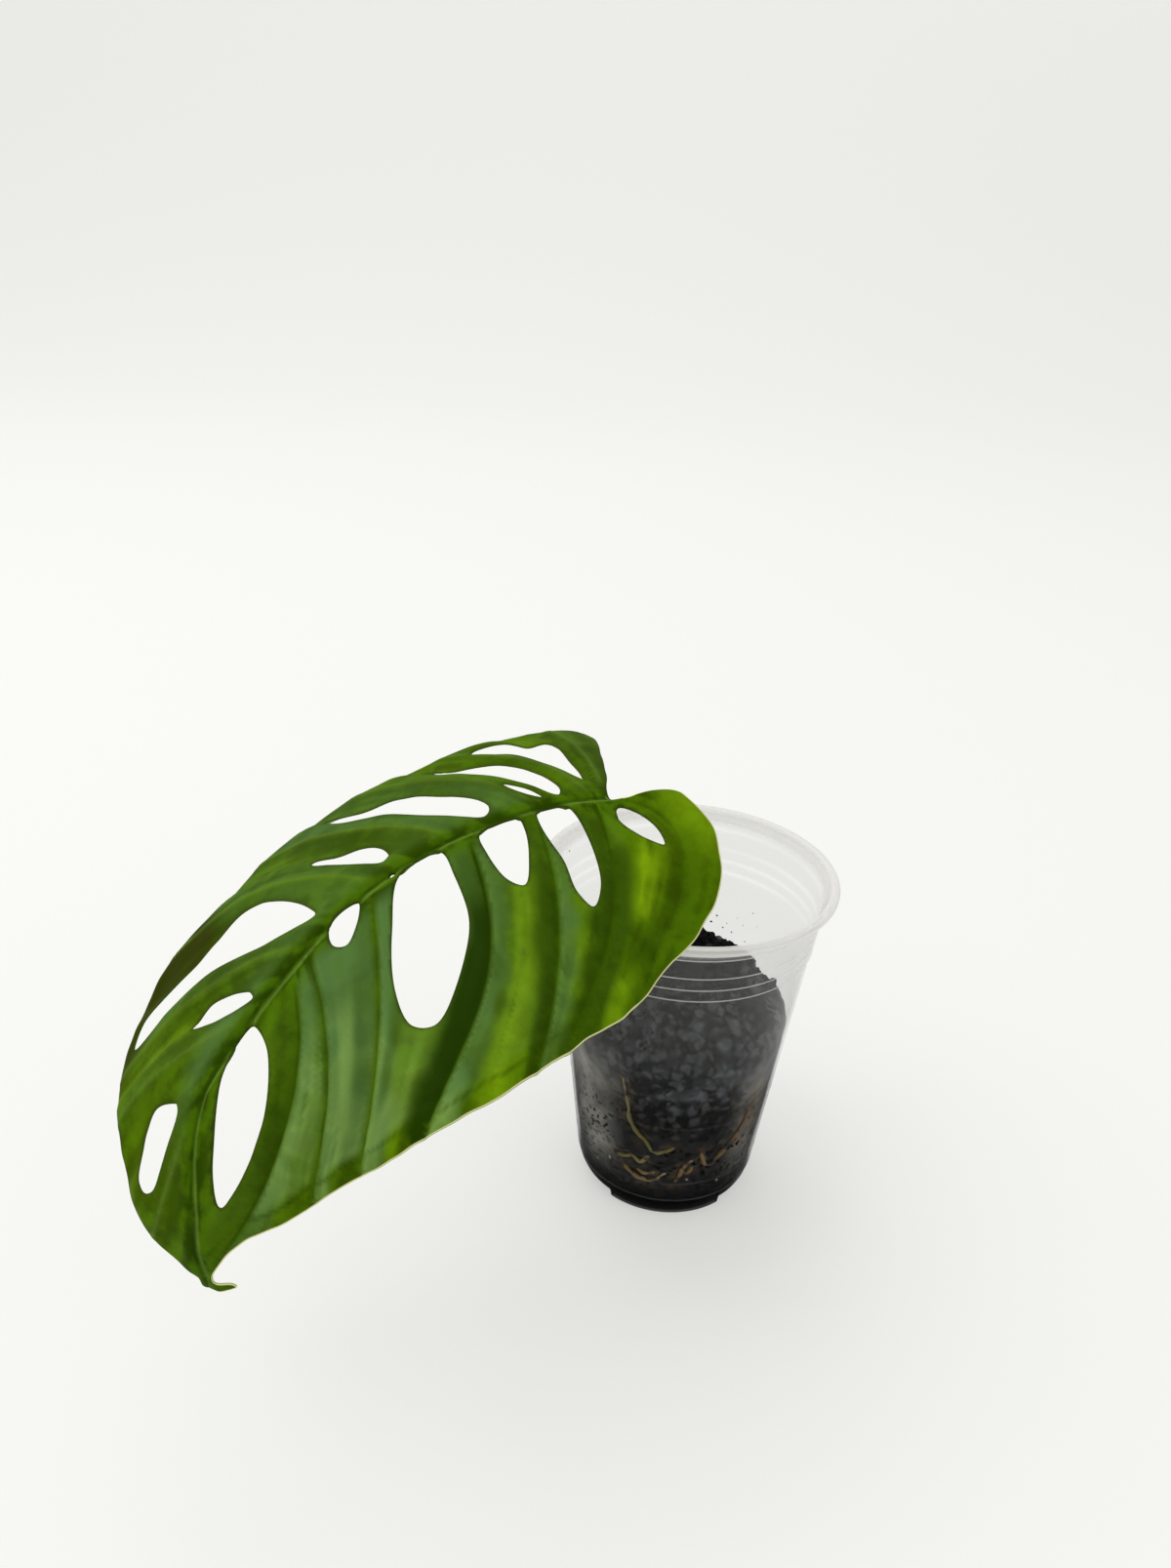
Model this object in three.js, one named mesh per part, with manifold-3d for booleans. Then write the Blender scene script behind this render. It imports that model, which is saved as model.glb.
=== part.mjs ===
// Monstera with one large, pierced leaf, rooted in a clear drinking cup.
// Millimetres, +Z up. The cup is centred on the Z axis while the pieces are made,
// and the whole plant is then moved so that the middle of its footprint is the origin.
import * as THREE from 'three';
import { mergeVertices } from 'three/addons/utils/BufferGeometryUtils.js';
import Module from 'manifold-3d';

const wasm = await Module();
wasm.setup();

// Cup: a 16 oz cold cup
const CUP_HEIGHT = 121;
const CUP_RIM_RADIUS = 49;
const CUP_BASE_RADIUS = 30.4;
const CUP_SHOULDER_RADIUS = 44.7;
const CUP_SHOULDER_HEIGHT = 117;
const CUP_WALL = 0.8;
const CUP_BEAD_RADIUS = 1.6;
const CUP_RIDGE_HEIGHTS = [98.5, 102.8, 107.3, 114.3];
const CUP_RIDGE_DEPTH = 0.5;
const CUP_FOOT_HEIGHT = 3;
const CUP_FOOT_RADIUS = 29;
const CUP_FOOT_WIDTH = 3.2;
const CUP_FOOT_COUNT = 3;
const CUP_FOOT_GAP_ANGLE = 40;
const CUP_FIRST_GAP = 209;
const CUP_RIDGE_HALF_HEIGHT = 0.9;
const CUP_SEGMENTS = 72;
const CUP_BEAD_STEPS = 9;
const CUP_BEAD_START = 190;
const CUP_BEAD_SWEEP = 290;
// The wall rounds in to the floor below this height
const CUP_TUCK_HEIGHT = 9;
const CUP_TUCK = 0.4;
const CUP_FLOOR_FILLET = 2.4;
const CUP_FLOOR_FILLET_HEIGHT = 6;
const CUP_FLOOR_FILLET_DEPTH = 0.5;

// Gap kept between pieces that touch
const GAP = 0.3;

// Soil: fills the cup to SOIL_CONTACT and domes up from there
const SOIL_CONTACT = 66;
const SOIL_SEGMENTS = 60;
const SOIL_DOME_RINGS = 17;
const SOIL_CLUMP = 1.6;
const SOIL_CLUMP_START = 10;
const SOIL_DOME = [
  [37.2, 67.8], [35, 71], [32, 74.4], [28, 78.8], [24, 82.7], [18, 87.2], [11, 91], [5, 92.8], [0, 93.2],
];

// Roots that show against the wall, as [angle in degrees, height] along the wall
const ROOT_RADIUS = 0.9;
const ROOT_SIDES = 8;
const ROOT_STEP = 2.4;
const ROOT_END_DEPTH = 1.2;
const ROOTS = {
  root_upper: [
    [[239, 60], [243, 48], [244, 41], [248, 37], [253, 34], [257, 31], [256, 27]],
    [[257, 29], [262, 29.5], [267, 31], [272, 33]],
    [[257, 27.5], [251, 23.6], [246, 25], [240, 23.8], [234, 23.5], [229, 22.2]],
  ],
  root_lower: [
    [[240, 18.4], [245, 16.8], [250, 15.8], [258, 15.6], [264, 17.6], [268, 19.8]],
  ],
  root_front: [
    [[274, 14.5], [276, 19], [277, 22.5], [280, 24.6], [285, 26]],
  ],
  root_right: [
    [
      [288, 31], [289.5, 26], [292, 23], [296, 22.4], [300, 25],
      [307, 29.5], [314, 34.5], [318, 40], [320, 48],
    ],
  ],
};

// Leaf stalk: from inside the soil to the base of the blade
const STALK_PATH = [
  [-11, -11, 66], [-12, -13.5, 78], [-13.9, -17, 91.5], [-18, -27, 114.2], [-22.2, -38, 137.6],
  [-26.1, -46.6, 155.2], [-28.7, -52, 164.4], [-29.8, -55.8, 168.8], [-31, -58.8, 172],
];
const STALK_SIDES = 12;
const STALK_STEPS = 34;
const STALK_RADII = [[0, 3.6], [0.25, 3.3], [0.45, 2.5], [0.86, 2.3], [0.9, 2.7], [0.97, 2.7], [1, 2.2]];

// Leaf blade: a flat outline, bent along a midrib that bows down towards the tip.
// u runs from 0 at the stalk to 1 at the tip; angles are polynomials in u, in radians.
const LEAF_BASE = [-29, -58.6, 173.8];
const LEAF_LENGTH = 185;
const LEAF_THICKNESS = 0.8;
const LEAF_HEADING = [3.565, 0.34, -0.05, 0.76];
const LEAF_PITCH = [-0.066, 1.5, -0.53, 0.89];
const LEAF_ROLL = [0.243, -0.39];
const LEAF_FOLD = 0.163;
const LEAF_CURL = { right: 0.003, left: 0.006 };
const LEAF_STEP = 4;
const MIDRIB_STEPS = 370;
const RIB_HEIGHT = 1.8;
const RIB_HALF_WIDTH = 1.8;
const RIB_TAPER = 0.7;
const VEIN_GROOVE = 1.0;
const VEIN_GROOVE_WIDTH = 4.5;
const GROOVE_START = [4, 20];
// The left edge lifts between these distances across, from the first length on, up to the last
const EDGE_LIFT = 1.2;
const EDGE_LIFT_ACROSS = [25, 60];
const EDGE_LIFT_FROM = [30, 60];
const EDGE_LIFT_UNTIL = [125, 142];

// Outline in flat millimetres: x along the midrib, y across it
const LEAF_OUTLINE = [
  [-1.1, -0.9], [-4.4, -0.1], [-9.7, -1.8], [-16, -3], [-21.4, -1.4], [-25.1, 7], [-26.1, 15],
  [-24, 24.6], [-17.7, 36.8], [-10.1, 44.4], [-0.3, 51], [13.9, 58.5], [29.9, 63.6], [50, 65],
  [78, 64.9], [94.1, 61.5], [107.9, 57], [122.1, 51.1], [138.1, 41.2], [154.4, 30.4],
  [167.8, 16.2], [180, 6.5], [187.4, 3], [191, 2.8], [189.7, 7.6], [190.4, 9], [192.7, 6.6],
  [194.8, 3.1], [193.8, -0.6], [189.6, -1.6], [188.5, -4.9], [183.4, -15.2], [173.1, -26.1],
  [159.4, -39.4], [148.5, -49.5], [136.3, -58.6], [118.8, -66.4], [98, -65.5], [76, -66],
  [52, -64.5], [36, -61], [18, -62.4], [2, -62], [-10, -60.5], [-14.4, -55], [-14.9, -43.8],
  [-9.6, -26.8], [-4.8, -11.9],
];
const LEAF_HOLES = [
  [[-1.6, 3.6], [-0.1, 7.5], [-4.5, 14.6], [-10.1, 17.3], [-10.2, 13], [-6.6, 5.5]],
  [[12.8, 0.4], [20.8, 0.5], [20.6, 18], [21.5, 28.1], [19.3, 33.1], [13.2, 26.3], [10.9, 12]],
  [[26.7, -0.2], [37.5, 1.2], [38.8, 8.1], [37.8, 17.9], [34.5, 21.2], [28.8, 12.5], [26.3, 4.5]],
  [[49.2, 0.8], [60.3, 0.8], [70.8, 13.1], [81.1, 27.2], [84.4, 37.3], [79.2, 41.4],
    [65.9, 35.8], [53.7, 24.4], [49.6, 10]],
  [[73.3, -0.3], [81.8, -0.4], [84.9, 5.8], [82.4, 8.5], [77.2, 5.8], [73.7, 2.1]],
  [[112.8, 1.8], [124.1, 0.4], [142, 4.2], [160.1, 8.1], [154, 12.1], [140, 16.3],
    [125.8, 15.7], [114.8, 9.3]],
  [[2.7, -11.6], [7.9, -23.5], [12.5, -38], [20.5, -51.3], [17.8, -54.9], [6.5, -49],
    [-0.3, -46.6], [0.5, -26]],
  [[12.3, -5.5], [18.3, -14.6], [25.5, -29.2], [33.9, -44.8], [32.4, -47.6], [18.1, -35.1],
    [12.2, -20.2], [10.3, -8.9]],
  [[33.7, -4.9], [41.9, -12.4], [51.5, -28.1], [63.5, -46.1], [64.8, -52.5], [48.7, -43.7],
    [36.8, -27.3], [30, -11.2]],
  [[61.7, -7.6], [66.3, -12.4], [73, -25], [75.3, -31.9], [64.6, -24.9], [59.2, -15.4],
    [59.7, -9]],
  [[83.2, -7.5], [95.2, -13.7], [111.2, -29.6], [128.3, -40.5], [141.8, -49], [132, -52.6],
    [111.9, -47.5], [95.6, -43], [85.7, -26.3]],
  [[107.5, -3.7], [113.6, -7.6], [120.1, -14.9], [124.5, -22.9], [117.4, -21.7], [110.6, -14.4],
    [107.1, -7]],
  [[141.3, -11.8], [155, -13.1], [166.2, -15.3], [168.4, -19.2], [160.6, -25.9], [148.4, -25.4],
    [142.5, -17.5]],
  [[16.6, -5.8], [20, -9.2], [22.6, -14.2], [23.2, -18], [20.6, -14.6], [17.8, -9.8]],
];

// Side veins, each a cubic curve of four points
const LEAF_VEINS = [
  [[0, 1], [-27, 2], [-16, 34], [12, 55]],
  [[5, 1], [4, 26], [13, 44], [43, 61]],
  [[22, 1], [24, 28], [36, 48], [57, 61]],
  [[41, 1], [46, 30], [56, 48], [102, 55]],
  [[69, 1], [84, 27], [98, 42], [128, 44]],
  [[90, 1], [104, 32], [124, 34], [146, 33]],
  [[95, 1], [111, 26], [138, 29], [172, 10]],
  [[0, -1], [-3, -20], [-7, -40], [-6, -57]],
  [[4, -1], [7, -16], [14, -42], [27, -58]],
  [[20, -1], [23, -18], [36, -42], [53, -61]],
  [[44, -1], [52, -18], [64, -40], [84, -62]],
  [[66, -1], [78, -22], [86, -48], [110, -60]],
  [[90, -1], [108, -22], [128, -38], [148, -46]],
  [[112, -1], [126, -14], [142, -34], [158, -38]],
  [[138, -1], [150, -9], [166, -9], [178, -14]],
];

// Solids and meshes
function toSolid(geometry) {
  const bare = new THREE.BufferGeometry();
  bare.setAttribute('position', geometry.getAttribute('position').clone());
  if (geometry.index) bare.setIndex(geometry.index.clone());
  const merged = mergeVertices(bare, 1e-4);
  return new wasm.Manifold(new wasm.Mesh({
    numProp: 3,
    vertProperties: Float32Array.from(merged.getAttribute('position').array),
    triVerts: Uint32Array.from(merged.index.array),
  }));
}

function toGeometry(solid) {
  const mesh = solid.getMesh();
  const geometry = new THREE.BufferGeometry();
  geometry.setAttribute('position', new THREE.BufferAttribute(mesh.vertProperties, 3));
  geometry.setIndex(new THREE.BufferAttribute(mesh.triVerts, 1));
  return geometry;
}

function closedGeometry(positions, indices) {
  const geometry = new THREE.BufferGeometry();
  geometry.setAttribute('position', new THREE.Float32BufferAttribute(positions, 3));
  geometry.setIndex(indices);
  return geometry;
}

// A lathe turned about Z; its profile is read as [radius, height]
function turned(profile, segments) {
  const points = profile.map(([radius, height]) => new THREE.Vector2(radius, height));
  const geometry = new THREE.LatheGeometry(points, segments);
  geometry.rotateX(Math.PI / 2);
  return geometry;
}

// Sides of a tube whose radius changes along its path, with flat ends
function taperedTube(curve, steps, sides, radiusAt) {
  const frames = curve.computeFrenetFrames(steps, false);
  const positions = [];
  const indices = [];
  for (let i = 0; i <= steps; i++) {
    const centre = curve.getPointAt(i / steps);
    for (let j = 0; j < sides; j++) {
      const angle = (2 * Math.PI * j) / sides;
      const radius = radiusAt(i / steps);
      const point = centre.clone()
        .addScaledVector(frames.normals[i], Math.cos(angle) * radius)
        .addScaledVector(frames.binormals[i], Math.sin(angle) * radius);
      positions.push(point.x, point.y, point.z);
    }
  }
  for (let i = 0; i < steps; i++) {
    for (let j = 0; j < sides; j++) {
      const a = i * sides + j;
      const b = i * sides + ((j + 1) % sides);
      indices.push(a, b, b + sides, a, b + sides, a + sides);
    }
  }
  for (const [ring, step] of [[0, 1], [steps, -1]]) {
    const centre = curve.getPointAt(ring / steps);
    const hub = positions.length / 3;
    positions.push(centre.x, centre.y, centre.z);
    for (let j = 0; j < sides; j++) {
      const a = ring * sides + j;
      const b = ring * sides + ((j + 1) % sides);
      if (step > 0) indices.push(hub, b, a);
      else indices.push(hub, a, b);
    }
  }
  return closedGeometry(positions, indices);
}

// Value between listed [position, value] pairs
function between(pairs, t) {
  for (let i = 1; i < pairs.length; i++) {
    const [t0, v0] = pairs[i - 1];
    const [t1, v1] = pairs[i];
    if (t <= t1) return THREE.MathUtils.lerp(v0, v1, (t - t0) / (t1 - t0));
  }
  return pairs[pairs.length - 1][1];
}

// Cup
function wallRadius(height) {
  const slope = (CUP_SHOULDER_RADIUS - CUP_BASE_RADIUS) / CUP_SHOULDER_HEIGHT;
  return CUP_BASE_RADIUS + slope * height;
}

function innerRadius(height) {
  return wallRadius(height) - CUP_WALL;
}

function cupSolid() {
  const floorTop = CUP_FOOT_HEIGHT + CUP_WALL;
  const beadCentre = [CUP_RIM_RADIUS - CUP_BEAD_RADIUS, CUP_HEIGHT - CUP_BEAD_RADIUS];
  const profile = [[0, floorTop], [innerRadius(0) - CUP_FLOOR_FILLET, floorTop]];
  profile.push([innerRadius(CUP_FLOOR_FILLET_HEIGHT) - CUP_FLOOR_FILLET_DEPTH, CUP_FLOOR_FILLET_HEIGHT]);
  profile.push([innerRadius(CUP_TUCK_HEIGHT), CUP_TUCK_HEIGHT]);
  profile.push([innerRadius(CUP_SHOULDER_HEIGHT - 2), CUP_SHOULDER_HEIGHT - 2]);
  for (let i = 0; i <= CUP_BEAD_STEPS; i++) {
    const angle = THREE.MathUtils.degToRad(CUP_BEAD_START - (CUP_BEAD_SWEEP * i) / CUP_BEAD_STEPS);
    profile.push([
      beadCentre[0] + CUP_BEAD_RADIUS * Math.cos(angle),
      beadCentre[1] + CUP_BEAD_RADIUS * Math.sin(angle),
    ]);
  }
  profile.push([wallRadius(CUP_SHOULDER_HEIGHT - 1), CUP_SHOULDER_HEIGHT - 1]);
  for (const height of [...CUP_RIDGE_HEIGHTS].reverse()) {
    const above = height + CUP_RIDGE_HALF_HEIGHT;
    const below = height - CUP_RIDGE_HALF_HEIGHT;
    profile.push([wallRadius(above), above]);
    profile.push([wallRadius(height) + CUP_RIDGE_DEPTH, height]);
    profile.push([wallRadius(below), below]);
  }
  profile.push([wallRadius(CUP_TUCK_HEIGHT), CUP_TUCK_HEIGHT]);
  profile.push([wallRadius(CUP_FOOT_HEIGHT + 2) - CUP_TUCK, CUP_FOOT_HEIGHT + 2]);
  profile.push([CUP_FOOT_RADIUS + CUP_TUCK, CUP_FOOT_HEIGHT]);
  profile.push([CUP_FOOT_RADIUS, 0], [CUP_FOOT_RADIUS - CUP_FOOT_WIDTH, 0]);
  profile.push([CUP_FOOT_RADIUS - CUP_FOOT_WIDTH - 0.3, CUP_FOOT_HEIGHT], [0, CUP_FOOT_HEIGHT]);
  let solid = toSolid(turned(profile.reverse(), CUP_SEGMENTS));
  for (let i = 0; i < CUP_FOOT_COUNT; i++) {
    const middle = CUP_FIRST_GAP + (360 / CUP_FOOT_COUNT) * i;
    const half = THREE.MathUtils.degToRad(CUP_FOOT_GAP_ANGLE / 2);
    const start = THREE.MathUtils.degToRad(middle) - half;
    const wedge = new THREE.Shape();
    wedge.moveTo(0, 0);
    wedge.absarc(0, 0, CUP_BASE_RADIUS + 5, start, start + 2 * half, false);
    wedge.lineTo(0, 0);
    const tool = new THREE.ExtrudeGeometry(wedge, {
      depth: CUP_FOOT_HEIGHT + 1, bevelEnabled: false, curveSegments: 8,
    });
    tool.translate(0, 0, -1);
    solid = solid.subtract(toSolid(tool));
  }
  return solid;
}

// Height of the soil's clumps, between -1 and 1, as waves that cross each other
function clump(x, y, z) {
  const coarse = Math.sin(0.42 * x + 0.9) * Math.sin(0.37 * y - 0.4) + Math.sin(0.31 * z + 0.28 * x);
  const fine = Math.sin(0.95 * x - 0.6 * y) * Math.sin(0.85 * y + 0.7 * z);
  return 0.45 * coarse + 0.4 * fine;
}

// Soil with clumps on its dome
function soilSolid() {
  const edge = (height) => innerRadius(height) - GAP;
  const bottom = CUP_FOOT_HEIGHT + CUP_WALL + GAP;
  const fillet = CUP_FLOOR_FILLET_HEIGHT;
  const profile = [[0, bottom], [edge(0) - CUP_FLOOR_FILLET, bottom]];
  profile.push([edge(fillet) - CUP_FLOOR_FILLET_DEPTH - 0.1, fillet + 0.4]);
  profile.push([edge(CUP_TUCK_HEIGHT), CUP_TUCK_HEIGHT + 0.4]);
  profile.push([edge(24), 24], [edge(38), 38], [edge(52), 52], [edge(SOIL_CONTACT), SOIL_CONTACT]);
  const domeLine = SOIL_DOME.map(([radius, height]) => new THREE.Vector2(radius, height));
  for (const point of new THREE.SplineCurve(domeLine).getSpacedPoints(SOIL_DOME_RINGS)) {
    profile.push([Math.max(0, point.x), point.y]);
  }
  const geometry = mergeVertices(stripped(turned(profile, SOIL_SEGMENTS)), 1e-4);
  const position = geometry.getAttribute('position');
  const point = new THREE.Vector3();
  for (let i = 0; i < position.count; i++) {
    point.fromBufferAttribute(position, i);
    const rise = THREE.MathUtils.smoothstep(point.z, SOIL_CONTACT, SOIL_CONTACT + SOIL_CLUMP_START);
    const lump = SOIL_CLUMP * rise * clump(point.x, point.y, point.z);
    const reach = Math.max(Math.hypot(point.x, point.y), 10);
    const lean = Math.min(1, reach / SOIL_DOME[0][0]);
    const grow = 1 + (lump * lean) / reach;
    position.setXYZ(i, point.x * grow, point.y * grow, point.z + lump * (1.2 - lean));
  }
  return toSolid(geometry);
}

function stripped(geometry) {
  const bare = new THREE.BufferGeometry();
  bare.setAttribute('position', geometry.getAttribute('position'));
  bare.setIndex(geometry.index);
  return bare;
}

// Roots
function rootCurve(stations, radius) {
  const points = stations.map(([degrees, height], index) => {
    const isEnd = index === 0 || index === stations.length - 1;
    const reach = innerRadius(height) - GAP - 0.05 - radius - (isEnd ? ROOT_END_DEPTH : 0);
    const angle = THREE.MathUtils.degToRad(degrees);
    return new THREE.Vector3(reach * Math.cos(angle), reach * Math.sin(angle), height);
  });
  return new THREE.CatmullRomCurve3(points, false, 'centripetal');
}

function rootSolid(branches, radius, grow) {
  const solids = branches.map((stations) => {
    const curve = rootCurve(stations, radius);
    const steps = Math.max(6, Math.round(curve.getLength() / ROOT_STEP));
    return toSolid(taperedTube(curve, steps, ROOT_SIDES, () => radius + grow));
  });
  return solids.reduce((all, solid) => all.add(solid));
}

// Stalk
const stalkCurve = new THREE.CatmullRomCurve3(
  STALK_PATH.map((point) => new THREE.Vector3(...point)), false, 'centripetal',
);

function stalkSolid(grow) {
  return toSolid(taperedTube(stalkCurve, STALK_STEPS, STALK_SIDES, (t) => between(STALK_RADII, t) + grow));
}

// Leaf
function polynomial(factors, u) {
  return factors.reduceRight((sum, factor) => sum * u + factor, 0);
}

function midribDirection(u) {
  const heading = polynomial(LEAF_HEADING, u);
  const pitch = polynomial(LEAF_PITCH, u);
  return new THREE.Vector3(
    Math.cos(pitch) * Math.cos(heading), Math.cos(pitch) * Math.sin(heading), -Math.sin(pitch),
  );
}

const midribPoints = [new THREE.Vector3(...LEAF_BASE)];
for (let i = 1; i <= MIDRIB_STEPS; i++) {
  const step = midribDirection((i - 0.5) / MIDRIB_STEPS).multiplyScalar(LEAF_LENGTH / MIDRIB_STEPS);
  midribPoints.push(midribPoints[i - 1].clone().add(step));
}

// Point of the bent blade, and the direction out of its underside
function bladePoint(x, y) {
  const u = THREE.MathUtils.clamp(x / LEAF_LENGTH, 0, 1);
  const along = midribDirection(u);
  const heading = polynomial(LEAF_HEADING, u);
  const roll = polynomial(LEAF_ROLL, u);
  const level = new THREE.Vector3(-Math.sin(heading), Math.cos(heading), 0);
  const rise = new THREE.Vector3().crossVectors(along, level);
  const across = level.multiplyScalar(Math.cos(roll)).addScaledVector(rise, -Math.sin(roll));
  const under = new THREE.Vector3().crossVectors(across, along);
  const side = y < 0 ? -1 : 1;
  const curl = y < 0 ? LEAF_CURL.left : LEAF_CURL.right;
  const turn = LEAF_FOLD + curl * Math.abs(y);
  const reach = (Math.sin(turn) - Math.sin(LEAF_FOLD)) / curl;
  const drop = (Math.cos(LEAF_FOLD) - Math.cos(turn)) / curl;
  const place = u * MIDRIB_STEPS;
  const index = Math.min(Math.floor(place), MIDRIB_STEPS - 1);
  const point = midribPoints[index].clone().lerp(midribPoints[index + 1], place - index);
  point.addScaledVector(along, x - u * LEAF_LENGTH);
  point.addScaledVector(across, side * reach).addScaledVector(under, drop);
  const normal = under.multiplyScalar(Math.cos(turn)).addScaledVector(across, -side * Math.sin(turn));
  return { point, normal };
}

const veinLines = LEAF_VEINS.map((vein) => {
  const ends = vein.map(([x, y]) => new THREE.Vector2(x, y));
  return new THREE.CubicBezierCurve(...ends).getPoints(16);
});

function veinDistance(x, y) {
  let nearest = Infinity;
  for (const line of veinLines) {
    for (const point of line) nearest = Math.min(nearest, Math.hypot(point.x - x, point.y - y));
  }
  return nearest;
}

// How far the blade rises from its plain bend: between the veins, and along the left edge
function bladeRelief(x, y) {
  const edge = THREE.MathUtils.smoothstep(Math.abs(y), ...GROOVE_START);
  const groove = -VEIN_GROOVE * edge * Math.exp(-((veinDistance(x, y) / VEIN_GROOVE_WIDTH) ** 2));
  const lift = THREE.MathUtils.smoothstep(-y, ...EDGE_LIFT_ACROSS)
    * THREE.MathUtils.smoothstep(x, ...EDGE_LIFT_FROM)
    * (1 - THREE.MathUtils.smoothstep(x, ...EDGE_LIFT_UNTIL));
  return groove + EDGE_LIFT * lift;
}

function closedLine(points, spacing) {
  const vectors = points.map(([x, y]) => new THREE.Vector3(x, y, 0));
  const curve = new THREE.CatmullRomCurve3(vectors, true, 'centripetal');
  const count = Math.max(12, Math.round(curve.getLength() / spacing));
  return curve.getSpacedPoints(count).slice(0, count).map((point) => [point.x, point.y]);
}

function insideLine(line, x, y) {
  let inside = false;
  for (let i = 0, j = line.length - 1; i < line.length; j = i++) {
    const [xi, yi] = line[i];
    const [xj, yj] = line[j];
    if ((yi > y) !== (yj > y) && x < ((xj - xi) * (y - yi)) / (yj - yi) + xi) inside = !inside;
  }
  return inside;
}

// Delaunay triangles of flat points, by adding one point at a time
function triangulate(points) {
  const all = [...points, [-2000, -2000], [2000, -2000], [0, 3000]];
  const count = points.length;
  let triangles = [circled(all, count, count + 1, count + 2)];
  for (let i = 0; i < count; i++) {
    const [x, y] = all[i];
    const edges = new Map();
    const kept = [];
    for (const triangle of triangles) {
      if ((x - triangle.x) ** 2 + (y - triangle.y) ** 2 >= triangle.square) {
        kept.push(triangle);
        continue;
      }
      const [a, b, c] = triangle.corners;
      for (const [p, q] of [[a, b], [b, c], [c, a]]) {
        const twin = `${q},${p}`;
        if (edges.has(twin)) edges.delete(twin);
        else edges.set(`${p},${q}`, [p, q]);
      }
    }
    for (const [p, q] of edges.values()) kept.push(circled(all, p, q, i));
    triangles = kept;
  }
  return triangles.map((triangle) => triangle.corners).filter((corners) => corners.every((c) => c < count));
}

function circled(all, a, b, c) {
  const [ax, ay] = all[a];
  const bx = all[b][0] - ax;
  const by = all[b][1] - ay;
  const cx = all[c][0] - ax;
  const cy = all[c][1] - ay;
  const double = 2 * (bx * cy - by * cx);
  const x = (cy * (bx * bx + by * by) - by * (cx * cx + cy * cy)) / double;
  const y = (bx * (cx * cx + cy * cy) - cx * (bx * bx + by * by)) / double;
  return { corners: [a, b, c], x: ax + x, y: ay + y, square: x * x + y * y };
}

function flatLeaf() {
  const outline = closedLine(LEAF_OUTLINE, LEAF_STEP);
  const holes = LEAF_HOLES.map((hole) => closedLine(hole, LEAF_STEP));
  const lines = [outline, ...holes];
  const onBlade = (x, y) => insideLine(outline, x, y) && !holes.some((hole) => insideLine(hole, x, y));
  const border = lines.flat();
  const points = [...border];
  const farFrom = (x, y, near) => !points.some(([px, py]) => (px - x) ** 2 + (py - y) ** 2 < near * near);
  const offer = (x, y, near) => {
    if (onBlade(x, y) && farFrom(x, y, near)) points.push([x, y]);
  };
  for (let x = 2; x < LEAF_LENGTH; x += LEAF_STEP) {
    for (const y of [0, -RIB_HALF_WIDTH, RIB_HALF_WIDTH]) offer(x, y + 0.01 * Math.sin(x), 0.9);
  }
  for (let row = -18; row <= 18; row++) {
    for (let column = -10; column < 52; column++) {
      const x = (column + (row % 2 ? 0.5 : 0)) * LEAF_STEP;
      offer(x + 0.013 * Math.sin(row * 5.1), row * LEAF_STEP * 0.87, 0.62 * LEAF_STEP);
    }
  }
  const triangles = triangulate(points).filter(([a, b, c]) => {
    const x = (points[a][0] + points[b][0] + points[c][0]) / 3;
    const y = (points[a][1] + points[b][1] + points[c][1]) / 3;
    return onBlade(x, y);
  });
  return { points, triangles };
}

const leaf = flatLeaf();

function leafSolid(grow) {
  const { points, triangles } = leaf;
  const positions = [];
  const indices = [];
  const edges = new Map();
  for (const upper of [true, false]) {
    for (const [x, y] of points) {
      const { point, normal } = bladePoint(x, y);
      const rib = RIB_HEIGHT * (1 - RIB_TAPER * Math.min(1, Math.max(0, x / LEAF_LENGTH)))
        * Math.max(0, 1 - Math.abs(y) / RIB_HALF_WIDTH) * (x > 0 ? 1 : 0);
      const offset = upper ? -LEAF_THICKNESS / 2 - grow : LEAF_THICKNESS / 2 + grow + rib;
      point.addScaledVector(normal, offset - bladeRelief(x, y));
      positions.push(point.x, point.y, point.z);
    }
  }
  const count = points.length;
  for (const [a, b, c] of triangles) {
    indices.push(a, b, c, c + count, b + count, a + count);
    for (const [p, q] of [[a, b], [b, c], [c, a]]) {
      const twin = `${q},${p}`;
      if (edges.has(twin)) edges.delete(twin);
      else edges.set(`${p},${q}`, [p, q]);
    }
  }
  for (const [p, q] of edges.values()) indices.push(p, p + count, q + count, p, q + count, q);
  return toSolid(closedGeometry(positions, indices));
}

// Materials
const clearPlastic = new THREE.MeshStandardMaterial({
  name: 'clear_plastic', color: 0xe9ecec, roughness: 0.12, metalness: 0, transparent: true, opacity: 0.35,
});
const soilMix = new THREE.MeshStandardMaterial({
  name: 'potting_mix', color: 0x1d1b1a, roughness: 0.95, metalness: 0,
});
const greenStalk = new THREE.MeshStandardMaterial({
  name: 'green_stalk', color: 0x3f5a1c, roughness: 0.5, metalness: 0,
});
const greenBlade = new THREE.MeshStandardMaterial({
  name: 'green_blade', color: 0x3c6a1c, roughness: 0.42, metalness: 0,
});
const rootSkin = new THREE.MeshStandardMaterial({
  name: 'root_skin', color: 0x8a7434, roughness: 0.75, metalness: 0,
});

// Assembly
const plant = new THREE.Group();

function addPiece(name, solid, material) {
  const mesh = new THREE.Mesh(toGeometry(solid), material);
  mesh.name = name;
  plant.add(mesh);
}

let soil = soilSolid().subtract(stalkSolid(GAP));
for (const [name, branches] of Object.entries(ROOTS)) {
  soil = soil.subtract(rootSolid(branches, ROOT_RADIUS, GAP));
  addPiece(name, rootSolid(branches, ROOT_RADIUS, 0), rootSkin);
}
addPiece('cup', cupSolid(), clearPlastic);
addPiece('soil', soil, soilMix);
addPiece('petiole', stalkSolid(0).subtract(leafSolid(GAP)), greenStalk);
addPiece('leaf_blade', leafSolid(0), greenBlade);

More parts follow.
